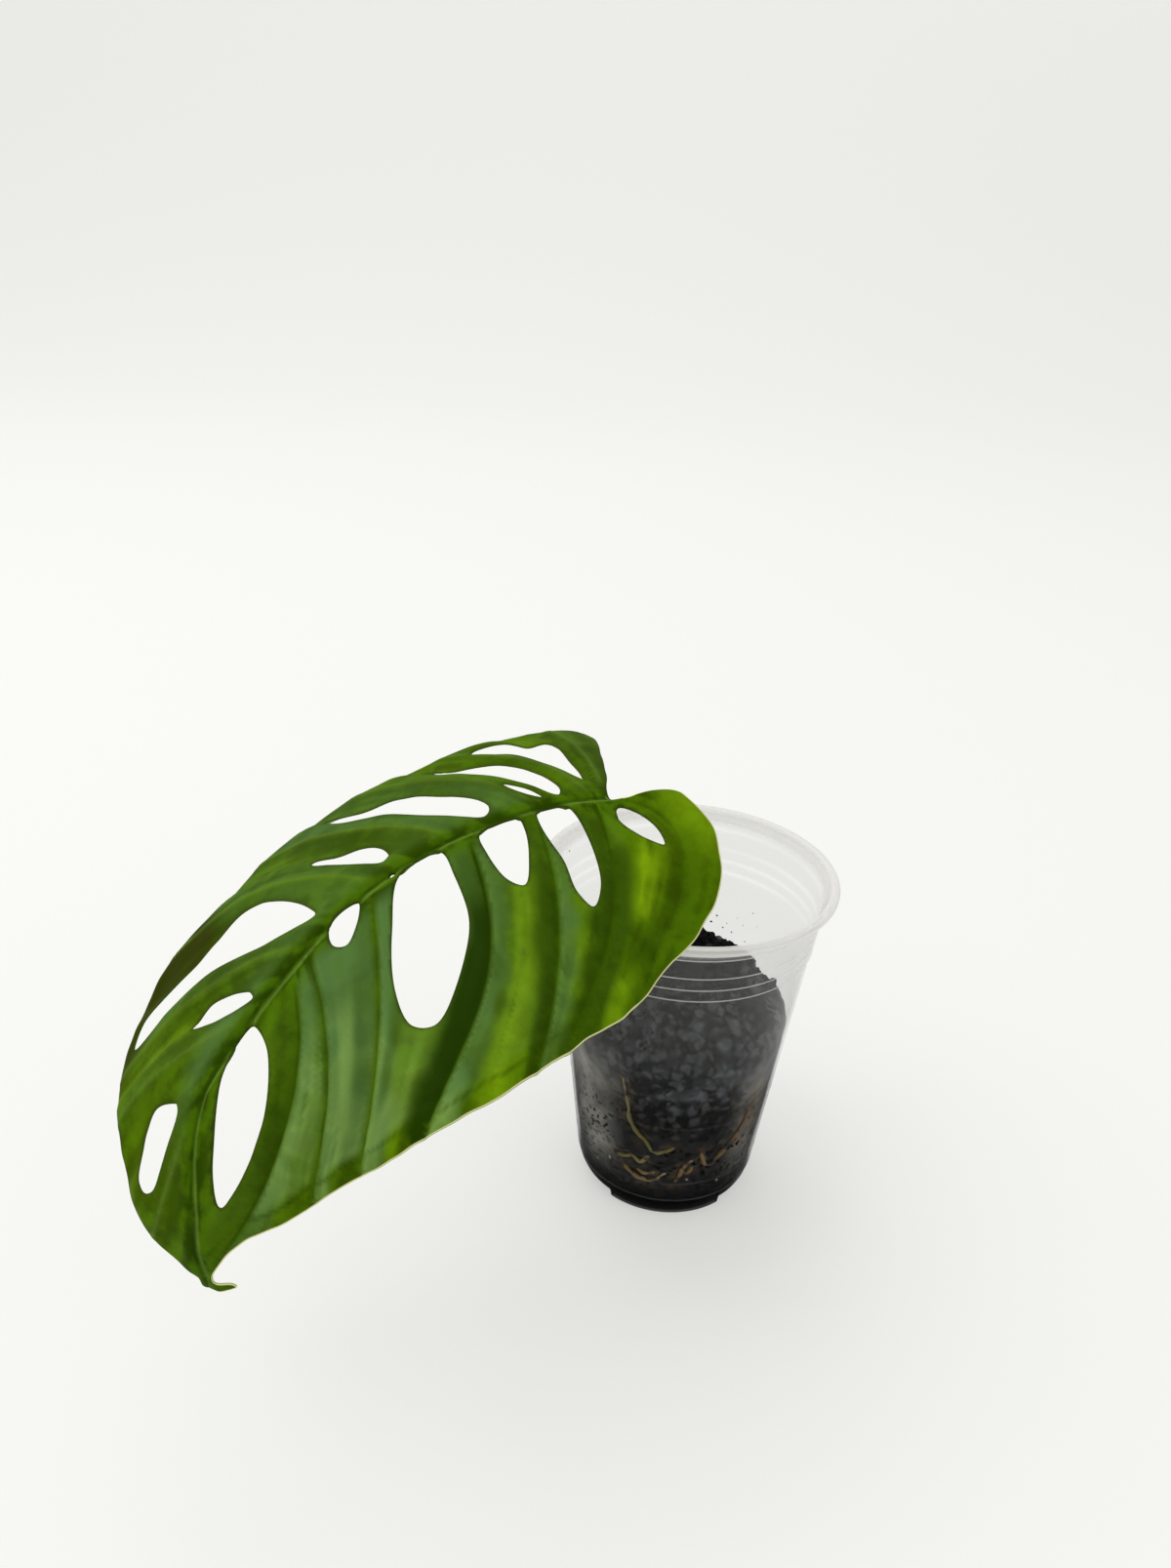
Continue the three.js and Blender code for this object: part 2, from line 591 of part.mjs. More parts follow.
const footprint = new THREE.Box3().setFromObject(plant);
const centre = footprint.getCenter(new THREE.Vector3());
plant.position.set(-centre.x, -centre.y, 0);

export default plant;
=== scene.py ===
"""Young climbing house plant in a clear cup, as a Blender add-on that is run as a script.

One large, pierced leaf arches sideways on a slim stalk that stands in dark soil.
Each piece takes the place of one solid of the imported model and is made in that
solid's own place. Shapes are worked out in millimetres from the middle of the cup
and turned to metres when a mesh is made.
"""

import math

import bmesh
import bpy
import numpy as np
from bpy.props import FloatProperty, FloatVectorProperty, IntProperty, PointerProperty
from mathutils import Matrix, Vector
from mathutils.geometry import delaunay_2d_cdt
from mathutils.kdtree import KDTree


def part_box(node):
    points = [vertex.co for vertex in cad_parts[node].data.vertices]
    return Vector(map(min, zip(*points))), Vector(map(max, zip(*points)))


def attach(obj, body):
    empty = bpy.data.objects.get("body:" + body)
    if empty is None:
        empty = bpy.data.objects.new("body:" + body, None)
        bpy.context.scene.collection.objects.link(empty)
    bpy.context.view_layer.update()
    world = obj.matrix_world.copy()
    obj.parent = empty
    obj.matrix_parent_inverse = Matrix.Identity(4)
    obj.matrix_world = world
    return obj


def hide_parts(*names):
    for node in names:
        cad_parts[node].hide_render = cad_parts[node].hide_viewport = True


bl_info = {
    "name": "Potted leaf plant",
    "version": (1, 0, 0),
    "blender": (4, 5, 0),
    "location": "View3D > Sidebar > Potted plant",
    "description": "Makes a pierced leaf on its stalk, in soil in a clear cup",
    "category": "Object",
}

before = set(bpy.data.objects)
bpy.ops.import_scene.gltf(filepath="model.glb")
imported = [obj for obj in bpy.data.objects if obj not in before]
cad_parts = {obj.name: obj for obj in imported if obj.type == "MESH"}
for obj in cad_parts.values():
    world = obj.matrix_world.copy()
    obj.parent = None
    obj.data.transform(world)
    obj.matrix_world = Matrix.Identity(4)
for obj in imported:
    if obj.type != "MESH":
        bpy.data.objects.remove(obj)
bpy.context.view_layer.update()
BODY = "root"
MM = 0.001

LOW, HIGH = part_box("cup")
CUP_CENTRE = np.array([(LOW[0] + HIGH[0]) / 2, (LOW[1] + HIGH[1]) / 2, 0.0])
CUP_HEIGHT = 121.0
RIM_RADIUS = 49.0
BASE_RADIUS = 30.4
SHOULDER_RADIUS = 44.7
SHOULDER_HEIGHT = 117.0
BEAD_RADIUS = 1.6
RIDGE_HEIGHTS = (98.5, 102.8, 107.3, 114.3)
MOULD_RINGS = (16.4, 42.6)
FOOT_HEIGHT = 3.0
FOOT_RADIUS = 29.0
FOOT_INSIDE = 25.8
FOOT_COUNT = 3
FOOT_GAP_ANGLE = 40.0
FIRST_GAP = 209.0
# Corner between the foot and the wall, as [radius, height]
HEEL = ((29.5, 3.4), (29.9, 4.2), (30.5, 5.6), (30.95, 7.2))
# How far a ridge and a mould ring stand out, and how wide they are
RIDGE_RISE, RIDGE_WIDTH = 0.45, 0.55
RING_RISE, RING_WIDTH = 0.08, 0.5
# Heights between which the wall is plain, the wet wall turns dry, and the foot's dark shade ends
PLAIN_WALL = (8.5, 116.5)
DRYING = (40, 98)
FOOT_SHADE = (4.5, 9)
# How much clearer the ridges are at the back, as a painted highlight,
# and how far the floor falls where the foot ring is broken
BACK_RIDGE_GLINT = 0.13
BRIDGE_SLOPE = 0.05
CUP_COLUMNS = 240

SOIL_CONTACT = 66.0
SOIL_INSET = 0.95
SOIL_STEP = 0.95
SOIL_COLUMNS = 288
# Sizes of clods, crumbs and grit
CLOD, CRUMB, GRIT = 8.5, 3.6, 1.7
# Depth and width of the groove behind a root
GROOVE_DEPTH, GROOVE_WIDTH = 1.7, 2.3
SOIL_DOME = (
    (37.2, 67.8), (35, 71), (32, 74.4), (28, 78.8), (24, 82.7), (18, 87.2), (11, 91), (5, 92.8), (0, 93.2),
)

# White grains and black crumbs against the wall, as [angle, height, radius]
PERLITE = (
    (229.4, 19.3, 0.8), (281, 17.2, 0.4), (303, 13.4, 0.45), (218, 14.5, 0.5), (291, 44.8, 0.35),
    (40, 22, 0.7), (75, 41, 0.5), (120, 16, 0.8), (160, 33, 0.5), (182, 52, 0.6), (15, 12, 0.6),
)
SPECKS = (
    (47.5, 87.4, 0.45), (61.4, 79.8, 0.5), (57.9, 77.1, 0.7), (51.9, 81.4, 0.55), (155.8, 115.4, 0.5),
    (67.4, 81.7, 0.7), (63.2, 77.8, 0.8), (55.9, 83.1, 0.4), (43.5, 83.2, 0.35), (70.1, 78.9, 0.9),
    (49.2, 75.6, 0.6), (74.8, 80.5, 0.6), (80.3, 77.2, 0.8), (38.4, 76.4, 0.4), (150, 96, 0.35),
    (20, 84, 0.3), (340, 78.5, 0.4), (118, 79.4, 0.5), (95, 82.6, 0.45), (133, 84.1, 0.3),
)

# Roots as [angle, height] along the wall, and how deep they lie under the wall's outer face
ROOT_DEPTH = 1.15
ROOT_SIDES = 14
ROOT_STEP = 0.45
ROOT_UPPER = (
    ((239, 60), (243, 48), (244, 41), (248, 37), (253, 34), (257, 31), (256, 27)),
    ((257, 29), (262, 29.5), (267, 31), (272, 33)),
    ((257, 27.5), (251, 23.6), (246, 25), (240, 23.8), (234, 23.5), (229, 22.2)),
)
ROOT_LOWER = (
    ((240, 18.4), (245, 16.8), (250, 15.8), (258, 15.6), (264, 17.6), (268, 19.8)),
    ((248, 18.4), (252, 18.2), (257, 18.4), (261, 19.2)),
)
ROOT_FRONT = (
    ((274, 14.5), (276, 19), (277, 22.5), (280, 24.6), (285, 26)),
    ((277, 21), (279.5, 20.6), (282, 21.2), (284, 22.4)),
)
ROOT_RIGHT = (
    ((288, 31), (289.5, 26), (292, 23), (296, 22.4), (300, 25), (307, 29.5), (314, 34.5), (318, 40),
     (320, 48)),
)

STALK_SIDES = 32
STALK_STEP = 0.7
STALK_PATH = (
    (-11, -11, 66), (-12, -13.5, 78), (-13.9, -17, 91.5), (-18, -27, 114.2), (-22.2, -38, 137.6),
    (-26.1, -46.6, 155.2), (-28.7, -52, 164.4), (-29.8, -55.8, 168.8), (-31, -58.8, 172),
)
STALK_RADII = ((0, 3.6), (0.25, 3.3), (0.45, 2.5), (0.86, 2.3), (0.9, 2.7), (0.97, 2.7), (1, 2.2))

LEAF_BASE = (-29, -58.6, 173.8)
LEAF_LENGTH = 185.0
LEAF_HEADING = (3.565, 0.34, -0.05, 0.76)
LEAF_PITCH = (-0.066, 1.5, -0.53, 0.89)
LEAF_ROLL = (0.243, -0.39)
LEAF_FOLD = 0.163
LEAF_CURL_RIGHT = 0.003
LEAF_CURL_LEFT = 0.006
EDGE_LIFT = 1.2
# Spacing of points on the blade, its outline, its holes and its veins, and how far its flat form reaches
BLADE_STEP = 1.08
OUTLINE_STEP, HOLE_STEP, VEIN_STEP = 0.8, 0.7, 0.9
BLADE_ENDS, BLADE_SIDES = (-30, 196), (-70, 70)
# How far the outline wanders, and how long one of its waves is
WANDER, WANDER_LENGTH = 0.35, 7
# Steps along the blade's bend, and lines of points beside its midrib and veins
WALK_STEPS = 740
RIB_GUIDES = (0.0, -0.8, 0.8, -1.7, 1.7)
VEIN_GUIDES = (0.0, -0.75, 0.75)
# Width that a panel outside the first and the last vein is taken to have, and of the dark strip beside a
# vein, near the midrib and how much less far from it
OUTER_PANEL = 24
DARK_STRIP, DARK_STRIP_LOSS = 10, 5.5
# How far the blade's rounded rim stands out
RIM_REACH = 0.25
LEAF_OUTLINE = (
    (-1.1, -0.9), (-4.4, -0.1), (-9.7, -1.8), (-16, -3), (-21.4, -1.4), (-25.1, 7), (-26.1, 15),
    (-24, 24.6), (-17.7, 36.8), (-10.1, 44.4), (-0.3, 51), (13.9, 58.5), (29.9, 63.6), (50, 65),
    (78, 64.9), (94.1, 61.5), (107.9, 57), (122.1, 51.1), (138.1, 41.2), (154.4, 30.4), (167.8, 16.2),
    (180, 6.5), (187.4, 3), (191, 2.8), (189.7, 7.6), (190.4, 9), (192.7, 6.6), (194.8, 3.1),
    (193.8, -0.6), (189.6, -1.6), (188.5, -4.9), (183.4, -15.2), (173.1, -26.1), (159.4, -39.4),
    (148.5, -49.5), (136.3, -58.6), (118.8, -66.4), (98, -65.5), (76, -66), (52, -64.5), (36, -61),
    (18, -62.4), (2, -62), (-10, -60.5), (-14.4, -55), (-14.9, -43.8), (-9.6, -26.8), (-4.8, -11.9),
)
LEAF_HOLES = (
    ((-1.6, 3.6), (-0.1, 7.5), (-4.5, 14.6), (-10.1, 17.3), (-10.2, 13), (-6.6, 5.5)),
    ((12.8, 0.4), (20.8, 0.5), (20.6, 18), (21.5, 28.1), (19.3, 33.1), (13.2, 26.3), (10.9, 12)),
    ((26.7, -0.2), (37.5, 1.2), (38.8, 8.1), (37.8, 17.9), (34.5, 21.2), (28.8, 12.5), (26.3, 4.5)),
    ((49.2, 0.8), (60.3, 0.8), (70.8, 13.1), (81.1, 27.2), (84.4, 37.3), (79.2, 41.4), (65.9, 35.8),
     (53.7, 24.4), (49.6, 10)),
    ((73.3, -0.3), (81.8, -0.4), (84.9, 5.8), (82.4, 8.5), (77.2, 5.8), (73.7, 2.1)),
    ((112.8, 1.8), (124.1, 0.4), (142, 4.2), (160.1, 8.1), (154, 12.1), (140, 16.3), (125.8, 15.7),
     (114.8, 9.3)),
    ((2.7, -11.6), (7.9, -23.5), (12.5, -38), (20.5, -51.3), (17.8, -54.9), (6.5, -49), (-0.3, -46.6),
     (0.5, -26)),
    ((12.3, -5.5), (18.3, -14.6), (25.5, -29.2), (33.9, -44.8), (32.4, -47.6), (18.1, -35.1),
     (12.2, -20.2), (10.3, -8.9)),
    ((33.7, -4.9), (41.9, -12.4), (51.5, -28.1), (63.5, -46.1), (64.8, -52.5), (48.7, -43.7),
     (36.8, -27.3), (30, -11.2)),
    ((61.7, -7.6), (66.3, -12.4), (73, -25), (75.3, -31.9), (64.6, -24.9), (59.2, -15.4), (59.7, -9)),
    ((83.2, -7.5), (95.2, -13.7), (111.2, -29.6), (128.3, -40.5), (141.8, -49), (132, -52.6),
     (111.9, -47.5), (95.6, -43), (85.7, -26.3)),
    ((107.5, -3.7), (113.6, -7.6), (120.1, -14.9), (124.5, -22.9), (117.4, -21.7), (110.6, -14.4),
     (107.1, -7)),
    ((141.3, -11.8), (155, -13.1), (166.2, -15.3), (168.4, -19.2), (160.6, -25.9), (148.4, -25.4),
     (142.5, -17.5)),
    ((16.6, -5.8), (20, -9.2), (22.6, -14.2), (23.2, -18), (20.6, -14.6), (17.8, -9.8)),
    # A pinhole beside the midrib
    ((61.6, -1.2), (62.4, -1.6), (63.1, -1.1), (62.9, -0.5), (62, -0.4)),
)
# Side veins of each half, from the stalk to the tip, as cubic curves of four points
VEINS_RIGHT = (
    ((0, 1), (-27, 2), (-16, 34), (12, 55)),
    ((5, 1), (4, 26), (13, 44), (43, 61)),
    ((22, 1), (24, 28), (36, 48), (57, 61)),
    ((41, 1), (46, 30), (56, 48), (102, 55)),
    ((69, 1), (84, 27), (98, 42), (128, 44)),
    ((90, 1), (104, 32), (124, 34), (146, 33)),
    ((95, 1), (111, 26), (138, 29), (172, 10)),
)
VEINS_LEFT = (
    ((0, -1), (-3, -20), (-7, -40), (-6, -57)),
    ((4, -1), (7, -16), (14, -42), (27, -58)),
    ((20, -1), (23, -18), (36, -42), (53, -61)),
    ((44, -1), (52, -18), (64, -40), (84, -62)),
    ((66, -1), (78, -22), (86, -48), (110, -60)),
    ((90, -1), (108, -22), (128, -38), (148, -46)),
    ((112, -1), (126, -14), (142, -34), (158, -38)),
    ((138, -1), (150, -9), (166, -9), (178, -14)),
)
# How each panel between two side veins looks, from the stalk to the tip: how much painted shade it has
# after its first vein, how bright it is in the middle, how much painted sheen and painted shade it has
# before its second vein, and how clouded with painted sheen it is
PANELS_RIGHT = (
    (0.0, 0.3, 0.0, 0.35, 0.0),
    (0.3, 1.5, 0.08, 0.7, 0.0),
    (0.7, 0.25, 0.6, 0.0, 0.08),
    (0.75, 0.6, 0.85, 0.0, 0.12),
    (1.15, 0.3, 0.9, 0.0, 0.54),
    (0.35, 0.0, 0.6, 0.0, 0.95),
    (0.0, 0.1, 0.45, 0.0, 0.47),
    (0.8, 0.2, 0.0, 0.0, 0.08),
)
PANELS_LEFT = (
    (0.0, 0.2, 0.1, 0.3, 0.0),
    (0.7, 0.4, 0.1, 0.0, 0.0),
    (0.6, 0.3, 0.2, 0.0, 0.0),
    (0.5, 0.3, 0.9, 0.0, 0.45),
    (0.6, 0.35, 0.6, 0.0, 0.2),
    (0.4, 0.4, 0.5, 0.0, 0.35),
    (0.3, 0.7, 0.2, 0.0, 0.08),
    (0.4, 0.6, 0.0, 0.0, 0.0),
    (0.3, 0.7, 0.0, 0.0, 0.0),
)
# How the midrib wanders across the blade, as [length along it, distance across]
MIDRIB = (
    (0, 0), (11.6, -0.7), (36, -0.4), (60, -0.7), (72, 0.3), (85, 0.8), (95.6, 1.7), (106, 1.4),
    (115, 0.8), (124, -1.1), (132.6, -3), (139, -2.6), (145, -1.6), (155, 0.2), (165, 0.8), (178, 0.2),
    (190, 1.1),
)


def linear(code):
    """An sRGB hex colour as the linear colour that shaders use."""
    parts = [int(code[i:i + 2], 16) / 255 for i in (1, 3, 5)]
    return tuple(p / 12.92 if p <= 0.04045 else ((p + 0.055) / 1.055) ** 2.4 for p in parts) + (1.0,)


def colour(name, description, code):
    return FloatVectorProperty(
        name=name, description=description, subtype="COLOR", size=4, min=0, max=1, default=linear(code))


def length(name, description, metres):
    return FloatProperty(
        name=name, description=description, default=metres, min=0, unit="LENGTH", subtype="DISTANCE")


# Sizes and colours that a user would change

class CupSettings(bpy.types.PropertyGroup):
    wall: length("Wall", "Thickness of the cup's wall", 0.0006)
    haze: FloatProperty(
        name="Haze", description="Share of light that one face of the dry wall scatters", default=0.036,
        subtype="FACTOR")
    tint: colour("Haze colour", "Colour of the light that the wall scatters", "#f0efed")


class SoilSettings(bpy.types.PropertyGroup):
    lump: length("Lumps", "Height of the lumps on the soil's dome", 0.0017)
    crumbs: IntProperty(name="Crumbs", description="Loose crumbs on the soil", default=420, min=1)
    dark: colour("Peat", "Damp peat", "#0c0c0d")
    brown: colour("Bark", "Bits of bark and fibre", "#1a1816")
    grey: colour("Dry crumb", "Drier, paler crumbs", "#4a4640")
    film: colour("Film", "Dried film where the soil is pressed against the wall", "#585b5e")


class RootSettings(bpy.types.PropertyGroup):
    radius: length("Radius", "Radius of a root", 0.0006)
    green: colour("Young root", "Yellow-green skin of the youngest root", "#67622c")
    straw: colour("Straw", "Pale skin of a root at the bottom", "#80734a")
    tan: colour("Tan", "Skin of an older root", "#7d6236")
    brown: colour("Brown", "Oldest skin", "#6a4f2c")
    tip: colour("Tip", "Growing tip", "#a99c80")


class StalkSettings(bpy.types.PropertyGroup):
    skin: colour("Stalk", "Skin of the stalk", "#4a6420")
    shade: colour("Stalk base", "Darker skin towards the soil", "#35461a")
    joint: colour("Joint", "The swollen joint under the blade", "#6b7f2e")


class LeafSettings(bpy.types.PropertyGroup):
    thickness: length("Thickness", "Thickness of the blade", 0.00065)
    relief: length("Relief", "Rise of the blade between its side veins", 0.0016)
    dark: colour("Dark green", "Old green along the veins", "#263c00")
    mid: colour("Mid green", "Green of most of the blade", "#436404")
    bright: colour("Bright green", "Young green between the veins", "#70920a")
    # The sheen colours are painted: blue-green in place of the blade's reflection of the bright room, paler
    # where it is strongest
    painted_sheen: colour("Bloom", "Blue-green waxy bloom", "#4c6c37")
    pale: colour("Pale bloom", "Where the bloom is thickest", "#76964c")
    under: colour("Underside", "Paler, duller underside", "#5f7f34")
    rim: colour("Rim", "Pale, hard rim of the blade", "#dcdd9c")


class StageSettings(bpy.types.PropertyGroup):
    floor: colour("Floor", "Pale sweep that the cup stands on", "#aaaaa7")
    light: FloatProperty(name="Light", description="Strength of the soft lights", default=1.0, min=0)


# Numbers and lines

def noise_at(points, size, seed):
    """Smooth noise from -1 to 1 at points, with waves about size long."""
    place = np.asarray(points, float) / size
    cell = np.floor(place).astype(np.int64)
    part = place - cell
    part = part * part * (3 - 2 * part)
    total = np.zeros(len(place))
    for corner in range(8):
        step = np.array([corner & 1, corner >> 1 & 1, corner >> 2 & 1])
        weight = np.prod(np.where(step, part, 1 - part), axis=1)
        total += weight * chance(cell + step, seed)
    return total * 2 - 1


def chance(cell, seed):
    """A number from 0 to 1 for each cell, always the same."""
    mixed = cell[:, 0] * 73856093 ^ cell[:, 1] * 19349663 ^ cell[:, 2] * 83492791 ^ seed * 26544357
    mixed = (mixed ^ (mixed >> 13)) * 1274126177 & 0xFFFFFFFF
    mixed = (mixed ^ (mixed >> 15)) * 2246822519 & 0xFFFFFFFF
    return ((mixed >> 9) & 0xFFFF) / 65535.0


def lumps_at(points, size, seed):
    """Rounded lumps from 0 at their foot to 1 at their top, about size across."""
    place = np.asarray(points, float) / size
    cell = np.floor(place).astype(np.int64)
    nearest = np.full(len(place), 9.0)
    for dx in (-1, 0, 1):
        for dy in (-1, 0, 1):
            for dz in (-1, 0, 1):
                other = cell + np.array([dx, dy, dz])
                middle = other + np.stack([chance(other, seed + k) for k in (1, 2, 3)], axis=1)
                nearest = np.minimum(nearest, np.linalg.norm(place - middle, axis=1))
    return np.clip(1 - nearest, 0, 1)


def rise(value, low, high):
    """A smooth rise from 0 to 1 as value goes from low to high."""
    t = np.clip((np.asarray(value, float) - low) / (high - low), 0, 1)
    return t * t * (3 - 2 * t)


def fall(value, low, high):
    return 1 - rise(value, low, high)


def bell(value, middle, width):
    return np.exp(-(((np.asarray(value, float) - middle) / width) ** 2))


def bells(value, middles, width):
    return sum(bell(value, middle, width) for middle in middles)


def centripetal(points, closed, per_span):
    """Points of a centripetal Catmull-Rom curve, per_span for each span."""
    knots = np.asarray(points, float)
    count = len(knots)
    rows = []
    for i in range(count if closed else count - 1):
        if closed:
            four = [knots[(i + k) % count] for k in (-1, 0, 1, 2)]
        else:
            before = knots[i - 1] if i else 2 * knots[0] - knots[1]
            after = knots[i + 2] if i + 2 < count else 2 * knots[-1] - knots[-2]
            four = [before, knots[i], knots[i + 1], after]
        gaps = [max(np.linalg.norm(four[k + 1] - four[k]) ** 0.5, 1e-4) for k in range(3)]
        out = (four[1] - four[0]) / gaps[0] - (four[2] - four[0]) / (gaps[0] + gaps[1])
        out = (out + (four[2] - four[1]) / gaps[1]) * gaps[1]
        into = (four[2] - four[1]) / gaps[1] - (four[3] - four[1]) / (gaps[1] + gaps[2])
        into = (into + (four[3] - four[2]) / gaps[2]) * gaps[1]
        t = np.linspace(0, 1, per_span, endpoint=False)[:, None]
        rows.append(
            four[1] + out * t + (-3 * four[1] + 3 * four[2] - 2 * out - into) * t ** 2
            + (2 * four[1] - 2 * four[2] + out + into) * t ** 3)
    if not closed:
        rows.append(knots[-1:])
    return np.concatenate(rows)


def evenly(line, spacing, closed):
    """The same line with points an even distance apart."""
    path = np.concatenate([line, line[:1]]) if closed else line
    reach = np.concatenate([[0], np.cumsum(np.linalg.norm(np.diff(path, axis=0), axis=1))])
    count = max(8, round(reach[-1] / spacing))
    places = np.linspace(0, reach[-1], count + 1)
    if closed:
        places = places[:-1]
    return np.stack([np.interp(places, reach, path[:, k]) for k in range(path.shape[1])], axis=1)


def bezier(ends, count):
    a, b, c, d = (np.array(p, float) for p in ends)
    t = np.linspace(0, 1, count)[:, None]
    return a * (1 - t) ** 3 + 3 * b * t * (1 - t) ** 2 + 3 * c * t ** 2 * (1 - t) + d * t ** 3


def longer(line, reach):
    """The line carried straight on past its end."""
    ahead = line[-1] - line[-2]
    return np.concatenate([line, line[-1:] + ahead / np.linalg.norm(ahead) * reach])


def near_line(points, line):
    """Distance of each point from a line, and how far along the line from 0 to 1."""
    best = np.full(len(points), 1e9)
    along = np.zeros(len(points))
    steps = len(line) - 1
    for i in range(steps):
        span = line[i + 1] - line[i]
        t = np.clip(((points - line[i]) @ span) / max(span @ span, 1e-9), 0, 1)
        gap = np.linalg.norm(points - line[i] - t[:, None] * span, axis=1)
        nearer = gap < best
        best = np.where(nearer, gap, best)
        along = np.where(nearer, (i + t) / steps, along)
    return best, along


def inside(points, line):
    """True for each point inside a closed line."""
    found = np.zeros(len(points), bool)
    x, y = points[:, 0], points[:, 1]
    for a, b in zip(line, np.roll(line, 1, axis=0)):
        crosses = (a[1] > y) != (b[1] > y)
        if crosses.any():
            found ^= crosses & (x < (b[0] - a[0]) * (y - a[1]) / (b[1] - a[1] + 1e-30) + a[0])
    return found


# Meshes

def around(radius, turn, height):
    """Points at a radius and an angle in radians from the cup's middle, at a height."""
    radius, turn, height = np.broadcast_arrays(radius, turn, height)
    return np.stack([radius * np.cos(turn), radius * np.sin(turn), height], axis=-1)


def make_piece(name, points, faces, material, node=None, spots=None):
    """A mesh object from points in millimetres; spots maps a name to one value for each point."""
    mesh = bpy.data.meshes.new(name)
    placed = np.asarray(points, float) * MM + CUP_CENTRE
    mesh.from_pydata(placed.tolist(), [], [tuple(int(i) for i in face) for face in faces])
    for key, values in (spots or {}).items():
        values = np.asarray(values, np.float32)
        kind, part = ("FLOAT_VECTOR", "vector") if values.ndim == 2 else ("FLOAT", "value")
        mesh.attributes.new(key, kind, "POINT").data.foreach_set(part, values.ravel())
    shape = bmesh.new()
    shape.from_mesh(mesh)
    bmesh.ops.recalc_face_normals(shape, faces=shape.faces)
    shape.to_mesh(mesh)
    shape.free()
    mesh.shade_smooth()
    mesh.materials.append(material)
    piece = bpy.data.objects.new(name, mesh)
    bpy.context.scene.collection.objects.link(piece)
    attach(piece, BODY)
    if node:
        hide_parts(node)


def grid_faces(rows, columns, wrap=True):
    """Four-sided faces of a grid of points, joined round its columns."""
    faces = []
    for i in range(rows - 1):
        for j in range(columns if wrap else columns - 1):
            k = (j + 1) % columns
            faces.append((i * columns + j, i * columns + k, (i + 1) * columns + k, (i + 1) * columns + j))
    return faces


def capped(rows, columns):
    """Faces of a closed tube: a grid joined round its columns, with a flat face at each end."""
    ends = [tuple(reversed(range(columns))), tuple(range((rows - 1) * columns, rows * columns))]
    return grid_faces(rows, columns) + ends


def tube(path, radii, sides, shape=None):
    """Points and faces of a closed tube along a path; shape changes the radius by angle and row."""
    count = len(path)
    tangents = np.gradient(path, axis=0)
    tangents /= np.linalg.norm(tangents, axis=1)[:, None]
    side = np.cross(tangents[0], (0.3, 0.2, 1.0))
    angles = np.linspace(0, 2 * math.pi, sides, endpoint=False)
    points = []
    for i in range(count):
        side = side - tangents[i] * (side @ tangents[i])
        side /= np.linalg.norm(side)
        other = np.cross(tangents[i], side)
        reach = np.reshape(radii[i] * (shape(angles, i / (count - 1)) if shape else 1), (-1, 1))
        points.append(path[i] + np.cos(angles)[:, None] * side * reach
                      + np.sin(angles)[:, None] * other * reach)
    return np.concatenate(points), capped(count, sides)


# Materials

def new_material(name):
    """A material with a Principled shader; gives the material, its tree and the shader."""
    made = bpy.data.materials.new(name)
    made.use_nodes = True
    tree = made.node_tree
    shader = next(n for n in tree.nodes if n.type == "BSDF_PRINCIPLED")
    return made, tree, shader


def fill(tree, node, inputs):
    """Sets or links inputs, each by its name or number, to a value or to another node's output."""
    for name, value in inputs.items():
        if isinstance(value, bpy.types.NodeSocket):
            tree.links.new(value, node.inputs[name])
        else:
            node.inputs[name].default_value = value


def add(tree, kind, inputs=None, out=0, **settings):
    """Adds a node with its settings and links, and gives the output that out names or numbers."""
    made = tree.nodes.new("ShaderNode" + kind)
    for name, value in settings.items():
        setattr(made, name, value)
    fill(tree, made, inputs or {})
    return made.outputs[out]


def share_of(tree, *factors):
    """A share that is the product of factors, each a number, an output, or a smooth rise of an output.

    A rise is an output with the values at which it starts and is whole."""
    product = None
    for factor in factors:
        if isinstance(factor, tuple):
            value, low, high = factor
            factor = add(tree, "MapRange", {"Value": value, "From Min": low, "From Max": high},
                         interpolation_type="SMOOTHSTEP")
        product = factor if product is None else add(
            tree, "Math", {0: product, 1: factor}, operation="MULTIPLY")
    return product


def painted(tree, tone, *coats):
    """A colour under coats of others, each a colour and the factors of its share."""
    for over, *factors in coats:
        tone = add(tree, "Mix", {0: share_of(tree, *factors), 6: tone, 7: over}, 2, data_type="RGBA")
    return tone


